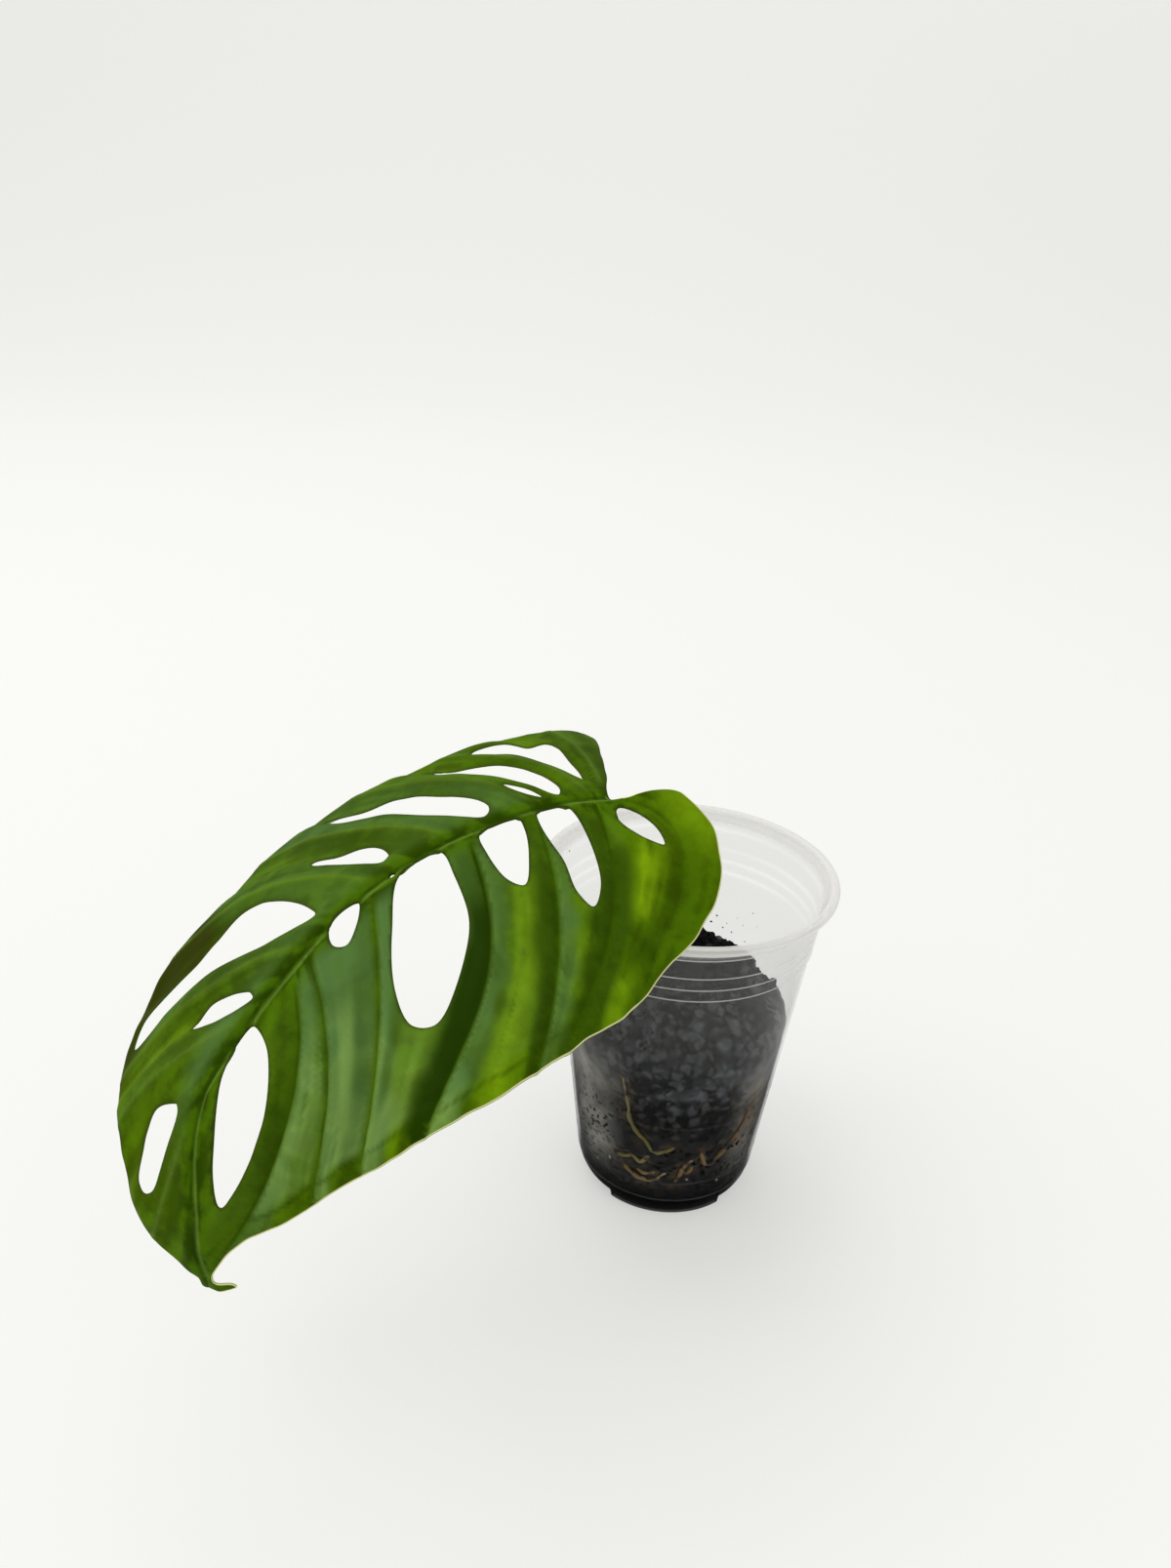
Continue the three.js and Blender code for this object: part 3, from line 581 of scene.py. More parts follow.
def soil_material(settings):
    """Damp peat with bark: crumbled and tamped, so it is rough, near black, with brown and grey bits."""
    made, tree, shader = new_material("damp_peat_and_bark")
    place = add(tree, "TexCoord", out="Object")
    # Clods of 9 mm, crumbs of 2 mm and pressed clumps of 4 mm with wet dots between, on coordinates in metres
    clods = add(tree, "TexNoise", {"Vector": place, "Scale": 1 / 0.009, "Detail": 3.0})
    crumbs = add(tree, "TexVoronoi", {"Vector": place, "Scale": 1 / 0.0021})
    drift = add(tree, "TexNoise", {"Vector": place, "Scale": 1 / 0.0032, "Detail": 2.0}, "Color")
    # The clumps' borders are bent by up to 5 mm
    swirled = add(tree, "VectorMath", {0: drift, 1: (0.005, 0.005, 0.005), 2: place},
                  operation="MULTIPLY_ADD")
    clumps = add(tree, "TexVoronoi", {"Vector": swirled, "Scale": 1 / 0.0038, "Smoothness": 0.12},
                 feature="SMOOTH_F1")
    cells = add(tree, "TexVoronoi", {"Vector": swirled, "Scale": 1 / 0.0038}, "Color")
    dots = add(tree, "TexVoronoi", {"Vector": swirled, "Scale": 1 / 0.0019})
    spot = {key: add(tree, "Attribute", out="Fac", attribute_name=key)
            for key in ("dome", "top", "film", "loose", "smear", "stain", "specks")}
    split = add(tree, "SeparateColor", {"Color": crumbs.node.outputs["Color"]})
    chosen = add(tree, "SeparateColor", {"Color": dots.node.outputs["Color"]})
    each = add(tree, "SeparateColor", {"Color": cells}, "Green")
    each = add(tree, "MapRange", {"Value": each, "To Min": 0.66, "To Max": 1.5})
    uneven = add(tree, "MapRange", {"Value": clods, "From Min": 0.35, "From Max": 0.65,
                                    "To Min": 0.5, "To Max": 1.15})
    # Against the wall a dried film is grey, in rounded clumps higher up with painted shade in the hollows
    # between them, with black, wet specks lower down
    hollow_shade = share_of(tree, (clumps, 0.28, 0.6), spot["loose"], 0.5)
    film = add(tree, "Math", {0: share_of(tree, spot["film"], uneven, each), 1: hollow_shade},
               operation="SUBTRACT", use_clamp=True)
    tone = painted(
        tree, settings.dark,
        (settings.brown, (clods, 0.42, 0.75)),
        # The highest raised tops of the clods on the dome are a little paler: painted light
        (settings.grey, (spot["top"], 0.7, 1.0), spot["dome"], 0.12),
        (settings.grey, (split, 0.94, 0.99), 0.5),
        (settings.film, film),
        # Wiped silt, rusty stains of roots and wet, black specks
        (linear("#a3a19a"), spot["smear"], uneven),
        (linear("#7d6a50"), spot["stain"]),
        (linear("#050505"), (dots, 0.5, 0.38), spot["specks"], (chosen, 0.48, 0.54)),
    )
    fill(tree, shader, {
        "Base Color": tone, "Roughness": share_of(tree, (split.node.outputs["Blue"], -1.2, 1.1)),
        "Normal": add(tree, "Bump", {"Height": crumbs, "Strength": 0.4, "Distance": 0.0005}),
        "IOR": 1.4, "Specular IOR Level": 0.03})
    return made


def perlite_material():
    """Expanded perlite: popped volcanic glass, white, dull and pitted."""
    made, tree, shader = new_material("expanded_perlite")
    place = add(tree, "TexCoord", out="Object")
    # Pits of 0.5 mm
    pits = add(tree, "TexNoise", {"Vector": place, "Scale": 1 / 0.0005, "Detail": 2.0})
    fill(tree, shader, {
        "Base Color": painted(tree, linear("#7d776a"), (linear("#b5b0a2"), (pits, 0.3, 0.6))),
        "Normal": add(tree, "Bump", {"Height": pits, "Strength": 0.6, "Distance": 0.0003}),
        "Roughness": 0.85, "IOR": 1.5})
    return made


def root_material(name, young, old, tip):
    """Fleshy root skin: waxy, dull, stained in bands by the soil it grew through."""
    made, tree, shader = new_material(name)
    place = add(tree, "TexCoord", out="Object")
    along = add(tree, "Attribute", out="Fac", attribute_name="along")
    # Stains of 3.5 mm and a fuzz of 0.5 mm
    stain = add(tree, "TexNoise", {"Vector": place, "Scale": 1 / 0.0035, "Detail": 3.0})
    fuzz = add(tree, "TexNoise", {"Vector": place, "Scale": 1 / 0.0005, "Detail": 2.0})
    tone = painted(
        tree, old,
        (young, (along, 0.0, 0.75)),
        (tip, (along, 0.8, 1.0)),
        (linear("#2c261c"), (stain, 0.5, 0.64)),
    )
    fill(tree, shader, {
        "Base Color": tone, "Roughness": 0.62, "IOR": 1.42,
        "Normal": add(tree, "Bump", {"Height": fuzz, "Strength": 0.4, "Distance": 0.0002})})
    return made


def stalk_material(settings):
    """Living leaf stalk: a smooth, waxy skin with fine length-wise lines, darker near the soil."""
    made, tree, shader = new_material("living_stalk_skin")
    flat = add(tree, "Attribute", out="Vector", attribute_name="flat")
    along, joint = (add(tree, "Attribute", out="Fac", attribute_name=key) for key in ("along", "joint"))
    # Lines 0.5 mm apart round the stalk, drawn out along it, and blotches of 7 mm; flat is in millimetres
    stretched = add(tree, "Mapping", {"Vector": flat, "Scale": (2.0, 0.12, 1.0)})
    lines = add(tree, "TexNoise", {"Vector": stretched, "Scale": 1.0, "Detail": 3.0})
    blotch = add(tree, "TexNoise", {"Vector": flat, "Scale": 0.14, "Detail": 2.0})
    tone = painted(
        tree, settings.shade,
        (settings.skin, (along, 0.1, 0.7)),
        (linear("#5d7a2a"), (lines, 0.4, 0.7)),
        (linear("#31451a"), (blotch, 0.5, 0.7)),
        (settings.joint, joint),
    )
    fill(tree, shader, {
        "Base Color": tone, "Roughness": 0.42, "IOR": 1.45,
        "Normal": add(tree, "Bump", {"Height": lines, "Strength": 0.35, "Distance": 0.0003})})
    return made


def leaf_material(settings):
    """Living leaf blade: leathery, with a waxy cuticle whose soft, pale sheen is painted into the colour."""
    made, tree, shader = new_material("living_leaf_cuticle")
    flat = add(tree, "Attribute", out="Vector", attribute_name="flat")
    spot = {key: add(tree, "Attribute", out="Fac", attribute_name=key)
            for key in ("bright", "painted_sheen", "pale", "shade", "turned", "streak", "vein", "rim", "under",
                        "edge")}
    # Blotches of 7 mm, clouds of 22 mm, vein nets of 5.5 and 1.6 mm, pores of 0.35 mm, in flat millimetres
    blotch = add(tree, "TexNoise", {"Vector": flat, "Scale": 1 / 7.0, "Detail": 4.0, "Roughness": 0.6})
    cloud = add(tree, "TexNoise", {"Vector": flat, "Scale": 1 / 22.0, "Detail": 2.0})
    net = add(tree, "TexVoronoi", {"Vector": flat, "Scale": 1 / 1.6}, feature="DISTANCE_TO_EDGE")
    wide = add(tree, "VectorMath", {0: blotch.node.outputs["Color"], 1: (5.0, 5.0, 0.0), 2: flat},
               operation="MULTIPLY_ADD")
    wide = add(tree, "TexVoronoi", {"Vector": wide, "Scale": 1 / 5.5}, feature="DISTANCE_TO_EDGE")
    pores = add(tree, "TexNoise", {"Vector": flat, "Scale": 1 / 0.35, "Detail": 1.0})
    drawn = add(tree, "Mix", {0: 0.5, 2: blotch, 3: spot["streak"]})
    under = painted(tree, settings.under, (linear("#6f8c42"), (blotch, 0.3, 0.7)))
    tone = painted(
        tree, settings.dark,
        (settings.mid, (drawn, 0.38, 0.6)),
        (settings.bright, spot["bright"], (cloud, -0.1, 0.55)),
        # Veins of the wide net are a little darker than the green between them
        (settings.dark, (wide, 0.2, 0.0), 0.09),
        # Painted sheen, paler on the right half towards the tip
        (painted(tree, settings.painted_sheen, (settings.pale, spot["pale"])), spot["painted_sheen"]),
        # Painted shade, deep olive where the strip turns away
        (painted(tree, linear("#1b3002"), (linear("#2b2f04"), spot["turned"])), spot["shade"]),
        # Painted highlights on crests and beside the midrib
        (linear("#6b8736"), spot["vein"]),
        (under, spot["under"]),
        (linear("#34430f"), spot["edge"]),
        (settings.rim, (spot["rim"], 0.1, 0.6)),
    )
    height = add(tree, "MapRange", {"Value": net, "From Max": 0.12})
    height = add(tree, "Math", {0: height, 1: pores}, operation="ADD")
    fill(tree, shader, {
        "Base Color": tone,
        "Roughness": add(tree, "MapRange", {"Value": blotch, "To Min": 0.4, "To Max": 0.56}),
        "Normal": add(tree, "Bump", {"Height": height, "Strength": 0.12, "Distance": 0.0002}),
        "IOR": 1.45, "Specular IOR Level": 0.005})
    return made


def cup_material(settings):
    """Thermoformed polypropylene: clear and glossy, with a slight milky haze where it is dry and on its bead
    and ridges, which also carry painted highlights.
    """
    made, tree, shader = new_material("thermoformed_clear_plastic")
    place = add(tree, "TexCoord", out="Object")
    haze_and_glint, dry, foot = (
        add(tree, "Attribute", out="Fac", attribute_name=key) for key in ("haze_and_glint", "dry", "foot"))
    # The ridges are small, so the wall's haze and reflection follow its plain slope
    slope = add(tree, "Attribute", out="Vector", attribute_name="slope")
    facing = add(tree, "LayerWeight", {"Blend": 0.5, "Normal": slope}, "Facing")
    steep = add(tree, "Math", {0: facing, 1: 4.0}, operation="POWER")
    # Near its edges and at the foot the wet wall bends light so that the dark soil fills it
    damp = add(tree, "MapRange", {"Value": dry, "From Min": 0.02, "From Max": 0.2,
                                  "To Min": 0.4, "To Max": 0.0})
    deep = add(tree, "Math", {0: share_of(tree, steep, damp), 1: foot}, operation="ADD", use_clamp=True)
    # The back halves of the ridges are clearer than the wall, as a painted highlight
    passed = add(tree, "MapRange", {"Value": haze_and_glint, "From Min": -0.2, "From Max": 0.0,
                                    "To Min": 1.0, "To Max": 0.925})
    clear = add(tree, "BsdfTransparent", {"Color": add(tree, "Mix", {0: deep, 2: passed, 3: 0.1})})
    # Clouds of haze 20 mm across
    cloud = add(tree, "TexNoise", {"Vector": place, "Scale": 1 / 0.02, "Detail": 3.0})
    cloud = add(tree, "MapRange", {"Value": cloud, "From Min": 0.3, "From Max": 0.7,
                                   "To Min": settings.haze * 0.75, "To Max": settings.haze * 1.25})
    graze = add(tree, "MapRange", {"Value": dry, "To Min": 0.05, "To Max": 0.3})
    haze = add(tree, "Math", {0: share_of(tree, cloud, dry), 1: share_of(tree, steep, graze)},
               operation="ADD")
    haze_and_glint = add(tree, "Math", {0: haze_and_glint, 1: 0.0}, operation="MAXIMUM")
    haze = add(tree, "Math", {0: haze, 1: haze_and_glint}, operation="ADD", use_clamp=True)
    fill(tree, shader, {"Base Color": settings.tint, "Roughness": 0.3, "IOR": 1.49})
    through = add(tree, "BsdfTranslucent", {"Color": settings.tint})
    milk = add(tree, "MixShader", {0: 0.5, 1: shader.outputs[0], 2: through})
    body = add(tree, "MixShader", {0: haze, 1: clear, 2: milk})
    # Reflection rises towards the edges of the wall, the same from inside and outside
    shine = add(tree, "Math", {0: facing, 1: 5.5}, operation="POWER")
    shine = add(tree, "Math", {0: shine, 1: deep}, operation="SUBTRACT", use_clamp=True)
    most = add(tree, "MapRange", {"Value": dry, "To Min": 0.15, "To Max": 0.35})
    shine = add(tree, "MapRange", {"Value": shine, "To Min": 0.002, "To Max": most})
    gloss = add(tree, "BsdfGlossy", {"Color": (1, 1, 1, 1), "Roughness": 0.1})
    output = next(n for n in tree.nodes if n.type == "OUTPUT_MATERIAL")
    fill(tree, output, {"Surface": add(tree, "MixShader", {0: shine, 1: body, 2: gloss})})
    return made


def floor_material(settings):
    """Opal acrylic sheet lit from behind: dull, without reflections, and bright, so shadows are weak."""
    made, tree, shader = new_material("backlit_opal_acrylic")
    place = add(tree, "TexCoord", out="Object")
    height = add(tree, "SeparateXYZ", {"Vector": place}, "Z")
    fill(tree, shader, {
        "Emission Color": painted(tree, linear("#b0b0ae"), (linear("#c4c4c2"), (height, 0.1, 2.0))),
        "Emission Strength": 1.0, "Base Color": settings.floor, "Roughness": 0.9})
    return made


# Cup

def wall_radius(height):
    return BASE_RADIUS + (SHOULDER_RADIUS - BASE_RADIUS) * np.asarray(height, float) / SHOULDER_HEIGHT


def in_foot_gap(degrees):
    """True where the foot ring is broken."""
    step = 360 / FOOT_COUNT
    away = (degrees - FIRST_GAP + step / 2) % step - step / 2
    return np.abs(away) < FOOT_GAP_ANGLE / 2


class CUP_OT_make(bpy.types.Operator):
    """Makes the clear cup with its rolled rim, ridges and broken foot ring"""
    bl_idname = "potted.make_cup"
    bl_label = "Make cup"

    def execute(self, context):
        settings = context.scene.potted_cup
        wall = settings.wall / MM
        floor = FOOT_HEIGHT + wall
        inner = self.inner_profile(wall, floor)
        outer, haze_and_glint = self.outer_profile()
        profile = np.array(inner + outer)
        radius, height = profile.T[:, :, None]
        haze_and_glint = np.array([0.0] * len(inner) + haze_and_glint)[:, None]
        degrees = 360 * np.arange(CUP_COLUMNS) / CUP_COLUMNS
        turn = np.radians(degrees)
        # Where the foot ring is broken, both faces of the floor run on almost level
        limit = np.where(np.arange(len(profile)) < len(inner), floor, FOOT_HEIGHT)[:, None]
        bridged = np.maximum(height, limit - BRIDGE_SLOPE * (1 - height / limit))
        points = around(radius, turn, np.where(in_foot_gap(degrees), bridged, height))
        down, out = np.gradient(profile, axis=0).T[:, :, None]
        plain = (height > PLAIN_WALL[0]) & (height < PLAIN_WALL[1])
        taper = (SHOULDER_RADIUS - BASE_RADIUS) / SHOULDER_HEIGHT
        slopes = around(np.where(plain, 1.0, out), turn, -np.where(plain, taper, down))
        slopes /= np.maximum(np.linalg.norm(slopes, axis=2, keepdims=True), 1e-9)
        # In front the ridges are hazy white, partly haze and partly painted highlight; at the back they are
        # clear, as a painted highlight
        front = np.where(height < PLAIN_WALL[1], rise(-np.sin(turn), -0.1, 0.2), 1.0)
        glint = bells(height, RIDGE_HEIGHTS, 0.8) * (0.7 + 0.3 * np.sin(3.1 * turn + 0.3 * height))
        haze = front * haze_and_glint - BACK_RIDGE_GLINT * (1 - front) * glint
        # The first and the last row are one point each, in the middle of the floor
        points, slopes, haze = (
            np.concatenate([rows[0, :1], *rows[1:-1], rows[-1, :1]]) for rows in (points, slopes, haze))
        faces = [tuple(i + 1 for i in face) for face in grid_faces(len(profile) - 2, CUP_COLUMNS)]
        end = len(points) - 1
        sides = [(j, (j + 1) % CUP_COLUMNS) for j in range(CUP_COLUMNS)]
        faces += [(0, 1 + j, 1 + k) for j, k in sides]
        faces += [(end, end - CUP_COLUMNS + k, end - CUP_COLUMNS + j) for j, k in sides]
        height = points[:, 2]
        make_piece("cup_shell", points, faces, cup_material(settings), "cup", {
            "haze_and_glint": haze, "slope": slopes, "foot": fall(height, *FOOT_SHADE),
            "dry": 0.02 + 0.98 * rise(height, *DRYING)})
        return {"FINISHED"}

    def swell(self, height):
        """How far the wall stands out at a ridge or a mould ring."""
        return (RIDGE_RISE * bells(height, RIDGE_HEIGHTS, RIDGE_WIDTH)
                + RING_RISE * bells(height, MOULD_RINGS, RING_WIDTH))

    def heights(self):
        """Heights up the wall, closer together at the ridges and the mould rings."""
        marks = RIDGE_HEIGHTS + MOULD_RINGS
        steps = (0.12, 0.25, 0.4, 0.6, 0.9, 1.3)
        close = [mark + sign * step for mark in marks for sign in (-1, 1) for step in steps]
        plain = [height for height in np.arange(9, SHOULDER_HEIGHT - 1, 1.9)
                 if min(abs(height - mark) for mark in marks) > 1.6]
        return sorted(close + list(marks) + plain)

    def inner_profile(self, wall, floor):
        """Inner side from the middle of the floor up to the bead."""
        profile = [(0.0, floor), (FOOT_INSIDE - 0.8 + wall, floor)]
        profile += [(radius + wall, height + wall) for radius, height in (
            (FOOT_INSIDE - 0.2, 2.3), (FOOT_INSIDE, 0.7), (FOOT_RADIUS - 1.6, 0.0))]
        profile += [(radius - wall, height) for radius, height in (
            (FOOT_RADIUS - 0.4, wall + 0.1), (FOOT_RADIUS, wall + 0.5), (FOOT_RADIUS, 2.4))]
        profile += [(radius - wall, height + 0.4) for radius, height in HEEL]
        return profile + [(wall_radius(h) - wall + self.swell(h), h) for h in self.heights()]

    def outer_profile(self):
        """Outer side from the bead down to the middle of the floor, and its haze with painted highlight
        lines.
        """
        bead = np.radians(np.linspace(190, -100, 19))
        profile = [(RIM_RADIUS - BEAD_RADIUS + BEAD_RADIUS * math.cos(angle),
                    CUP_HEIGHT - BEAD_RADIUS + BEAD_RADIUS * math.sin(angle)) for angle in bead]
        # The bead is hazy white, with painted highlight lines along it
        haze_and_glint = [0.45 + 0.35 * math.cos(3 * angle) ** 2 for angle in bead]
        # The ridges show thin white lines, partly haze and partly painted highlight; the mould rings and
        # shoulder are a little hazy
        for height in reversed(self.heights()):
            profile.append((wall_radius(height) + self.swell(height), height))
            haze_and_glint.append(0.6 * bells(height, RIDGE_HEIGHTS, 0.2) + 0.07 * bells(height, MOULD_RINGS, 0.25)
                         + 0.28 * rise(height, 113.8, 116))
        profile += list(reversed(HEEL))
        profile += [(FOOT_RADIUS, 2.2), (FOOT_RADIUS, 0.5), (FOOT_RADIUS - 0.5, 0.0),
                    (FOOT_INSIDE + 0.5, 0.0), (FOOT_INSIDE, 0.5), (FOOT_INSIDE - 0.2, 2.4),
                    (FOOT_INSIDE - 0.8, FOOT_HEIGHT), (0.0, FOOT_HEIGHT)]
        haze_and_glint += [0.0] * 4 + [0.015] * 7 + [0.0]
        return profile, haze_and_glint


# Soil

def clump(points):
    """The same slow waves that the packed soil has on its dome."""
    x, y, z = points.T
    coarse = np.sin(0.42 * x + 0.9) * np.sin(0.37 * y - 0.4) + np.sin(0.31 * z + 0.28 * x)
    fine = np.sin(0.95 * x - 0.6 * y) * np.sin(0.85 * y + 0.7 * z)
    return 0.45 * coarse + 0.4 * fine


def soil_profile():
    """Radius and height up the wall and over the dome, about 1 mm apart."""
    line = [(0.01, 4.3), (FOOT_INSIDE, 4.3), (FOOT_INSIDE + 1.1, 1.2), (FOOT_RADIUS - 1.3, 1.2),
            (FOOT_RADIUS - 0.9, 3.8), (HEEL[1][0] - SOIL_INSET, 5.2), (HEEL[3][0] - SOIL_INSET, 8.0)]
    line += [(wall_radius(height) - SOIL_INSET, height) for height in (24, 38, 52, SOIL_CONTACT)]
    dome = centripetal(np.array(line[-1:] + list(SOIL_DOME), float), False, 8)
    return evenly(np.concatenate([np.array(line[:-1], float), dome]), SOIL_STEP, False)


def soil_surface(profile, columns, lump):
    """Points of the soil, row by row, with its lumps, and what the material needs to know at each."""
    degrees = 360 * np.tile(np.arange(columns), len(profile)) / columns
    angle = np.tile(np.linspace(0, 2 * math.pi, columns, endpoint=False), len(profile))
    radius, height = np.repeat(profile, columns, axis=0).T
    points = around(radius, angle, height)
    slope = np.gradient(profile, axis=0)
    slope /= np.linalg.norm(slope, axis=1)[:, None]
    down, out = np.repeat(slope, columns, axis=0).T
    normal = around(out, angle, -down)
    dome = rise(height, SOIL_CONTACT - 4, SOIL_CONTACT + 8)
    clods = lumps_at(points, CLOD, 11)
    crumbs = lumps_at(points, CRUMB, 23)
    fine = noise_at(points, GRIT, 5)
    heap = dome * (1.3 * clump(points) + lump * (2.2 * (clods - 0.45) + 0.9 * (crumbs - 0.4) + 0.25 * fine))
    press = (1 - dome) * np.minimum(0, 0.9 * (clods - 0.5) + 0.5 * (crumbs - 0.5) + 0.2 * fine)
    gap = np.full(len(points), 99.0)
    for branch in ROOT_UPPER + ROOT_LOWER + ROOT_FRONT + ROOT_RIGHT:
        gap = np.minimum(gap, near_line(points, root_route(branch, 0.9)[::3])[0])
    groove = (1 - dome) * GROOVE_DEPTH * bell(gap, 0, GROOVE_WIDTH)
    raised = heap * (0.5 + 0.5 * rise(radius, 0, 6)) + press * rise(height, 5, 10) - groove
    points = points + normal * raised[:, None]
    # Over the breaks of the foot ring the soil stays above the floor
    points[:, 2] = np.where(
        in_foot_gap(degrees), np.maximum(points[:, 2], 4.2 + 0.01 * points[:, 2]), points[:, 2])
    height = points[:, 2]
    # Wiped smears of fine soil on two sides of the wall
    smear = (bell(degrees, 215, 16) + 0.45 * bell(degrees, 322, 14)) * fall(height, 52, 74)
    smear *= rise(height, 10, 28) * (0.8 + 0.3 * noise_at(points, 8, 43))
    film = np.clip(0.11 + 0.12 * noise_at(points, 19, 37) + 0.55 * rise(height, 38, 58), 0, 1)
    # Stains beside the roots and where fine rootlets lie on the wall
    stain = np.clip(0.3 * bell(gap, 0.9, 2.4) + 1.1 * bell(degrees, 319, 7) * bell(height, 41, 13), 0, 0.85)
    return points, {
        "dome": dome,
        "top": rise(raised, -1.5, 2.5),
        "film": fall(height, 80, 91) * rise(height, 6, 18) * film,
        "smear": np.clip(smear, 0, 1),
        "loose": rise(height, 36, 50),
        "specks": fall(height, 44, 58) * (0.5 + 0.5 * rise(noise_at(points, 12, 41), -0.5, 0.3)),
        "stain": stain * rise(noise_at(points, 2.2, 29), -0.4, 0.6),
    }


def crumb_shapes(places, sizes, seed):
    """Points and faces of loose crumbs at the places given."""
    shape = bmesh.new()
    bmesh.ops.create_icosphere(shape, subdivisions=2, radius=1.0)
    ball = np.array([v.co[:] for v in shape.verts])
    corners = [tuple(v.index for v in face.verts) for face in shape.faces]
    shape.free()
    random = np.random.default_rng(seed)
    points = []
    faces = []
    for k, (place, size) in enumerate(zip(places, sizes)):
        stretch = np.array([1.0, random.uniform(0.55, 1.0), random.uniform(0.4, 0.8)])
        spin = Matrix.Rotation(random.uniform(0, 6.28), 3, Vector(random.normal(size=3)).normalized())
        rough = 1 + 0.3 * noise_at(ball + 9.1 * k, 0.7, seed)
        rough += 0.15 * noise_at(ball + 3.7 * k, 0.35, seed + 1)
        points.append(place + (ball * rough[:, None] * stretch * size) @ np.array(spin).T)
        faces += [tuple(i + k * len(ball) for i in face) for face in corners]
    return np.concatenate(points), faces


class SOIL_OT_make(bpy.types.Operator):
    """Makes the soil, its loose crumbs and the perlite in it"""
    bl_idname = "potted.make_soil"
    bl_label = "Make soil"

    def execute(self, context):
        settings = context.scene.potted_soil
        profile = soil_profile()
        points, spots = soil_surface(profile, SOIL_COLUMNS, settings.lump / MM)
        faces = capped(len(profile), SOIL_COLUMNS)
        peat = soil_material(settings)
        make_piece("soil_body", points, faces, peat, "soil", spots)
        random = np.random.default_rng(7)
        chosen = random.choice(np.flatnonzero(spots["dome"] > 0.9), settings.crumbs, replace=False)
        sizes = random.uniform(0.5, 1.5, settings.crumbs) ** 1.4
        for name, places, radii, seed, material in (
            ("soil_crumbs", points[chosen], sizes, 3, peat),
            ("crumbs_on_wall", self.on_wall(SPECKS, 0.75), [0.5 * speck[2] for speck in SPECKS], 5, peat),
            ("perlite_grains", self.on_wall(PERLITE, 1.15), [grain[2] for grain in PERLITE], 9,
             perlite_material()),
        ):
            shapes, faces = crumb_shapes(places, radii, seed)
            make_piece(name, shapes, faces, material, None)
        return {"FINISHED"}

    def on_wall(self, marks, depth):
        """Places inside the wall, that deep under its outer face and deeper by half of each one's radius."""
        degrees, height, radius = np.array(marks).T
        return around(wall_radius(height) - depth - 0.5 * radius, np.radians(degrees), height)


# Roots

def root_route(branch, radius):
    """A root's middle line, pressed against the inside of the wall, with its ends in the soil."""
    degrees, height = np.array(branch, float).T
    reach = wall_radius(height) - ROOT_DEPTH - radius
    reach[[0, -1]] -= 0.9
    route = evenly(centripetal(around(reach, np.radians(degrees), height), False, 12), ROOT_STEP, False)
    # Small kinks along the wall, where the root went round crumbs
    turn = 0.013 * noise_at(route, 2.6, 51)
    x, y, z = route.T
    return np.stack([x * np.cos(turn) - y * np.sin(turn), x * np.sin(turn) + y * np.cos(turn),
                     z + 0.45 * noise_at(route, 2.6, 52)], axis=1)


class ROOT_OT_make(bpy.types.Operator):
    """Makes the roots that show against the wall"""
    bl_idname = "potted.make_roots"
    bl_label = "Make roots"

    def execute(self, context):
        settings = context.scene.potted_root
        radius = settings.radius / MM
        skins = (
            ("root_upper", ROOT_UPPER, settings.green, settings.straw, settings.green),
            ("root_lower", ROOT_LOWER, settings.straw, settings.tan, settings.tip),
            ("root_front", ROOT_FRONT, settings.tan, settings.brown, settings.tip),
            ("root_right", ROOT_RIGHT, settings.brown, settings.tan, settings.tan),
        )
        for index, (name, branches, young, old, tip) in enumerate(skins):
            points = []
            faces = []
            along = []
            for branch in branches:
                path = root_route(branch, radius)
                share = np.linspace(0, 1, len(path))
                taper = 1 - 0.45 * rise(share, 0.75, 1.0) + 0.42 * noise_at(path, 1.8, 31 + index)
                taper *= 0.35 + 0.65 * rise(share, -0.02, 0.05)
                shape, corners = tube(path, radius * taper, ROOT_SIDES)
                faces += [tuple(i + len(points) for i in face) for face in corners]
                points += list(shape)
                along += list(np.repeat(share, ROOT_SIDES))
            skin = root_material(name + "_skin", young, old, tip)
            make_piece(name + "_skin", np.array(points), faces, skin, name, {"along": along})
        return {"FINISHED"}


# Stalk

class STALK_OT_make(bpy.types.Operator):
    """Makes the leaf stalk with its grooved face and the swollen joint under the blade"""
    bl_idname = "potted.make_stalk"
    bl_label = "Make stalk"

    def execute(self, context):
        path = evenly(centripetal(STALK_PATH, False, 24), STALK_STEP, False)
        share = np.linspace(0, 1, len(path))
        radii = np.interp(share, *zip(*STALK_RADII))
        radii = np.convolve(np.pad(radii, 4, mode="edge"), np.ones(9) / 9, mode="valid")
        radii += 0.06 * noise_at(path, 6, 41)
        points, faces = tube(path, radii, STALK_SIDES, self.section)
        angle = np.tile(np.linspace(0, 2 * math.pi, STALK_SIDES, endpoint=False), len(path))
        along = np.repeat(share, STALK_SIDES)
        joint = rise(along, 0.87, 0.91) * (1 - 0.4 * rise(along, 0.97, 1.0))
        # Millimetres round the stalk and along it
        flat = np.stack([angle * 2.4, along * 120, np.zeros(len(along))], axis=1)
        make_piece("stalk_skin", points, faces, stalk_material(context.scene.potted_stalk), "petiole",
                   {"along": along, "joint": 0.55 * joint, "flat": flat})
        return {"FINISHED"}

    def section(self, angles, share):
        """The stalk's section: a shallow channel on its upper side that closes at the joint."""
        channel_open = float(rise(share, 0.2, 0.3) * fall(share, 0.84, 0.9))
        sheath = float(fall(share, 0.3, 0.5))
        channel = bell(np.cos(angles - 1.2), 1.0, 0.35)
        wings = bell(np.cos(angles - 1.2), 0.55, 0.22)
        return 1 - 0.16 * channel_open * channel - 0.1 * sheath * channel + 0.1 * sheath * wings


# Leaf

def midrib_at(x):
    return np.interp(x, *zip(*MIDRIB))


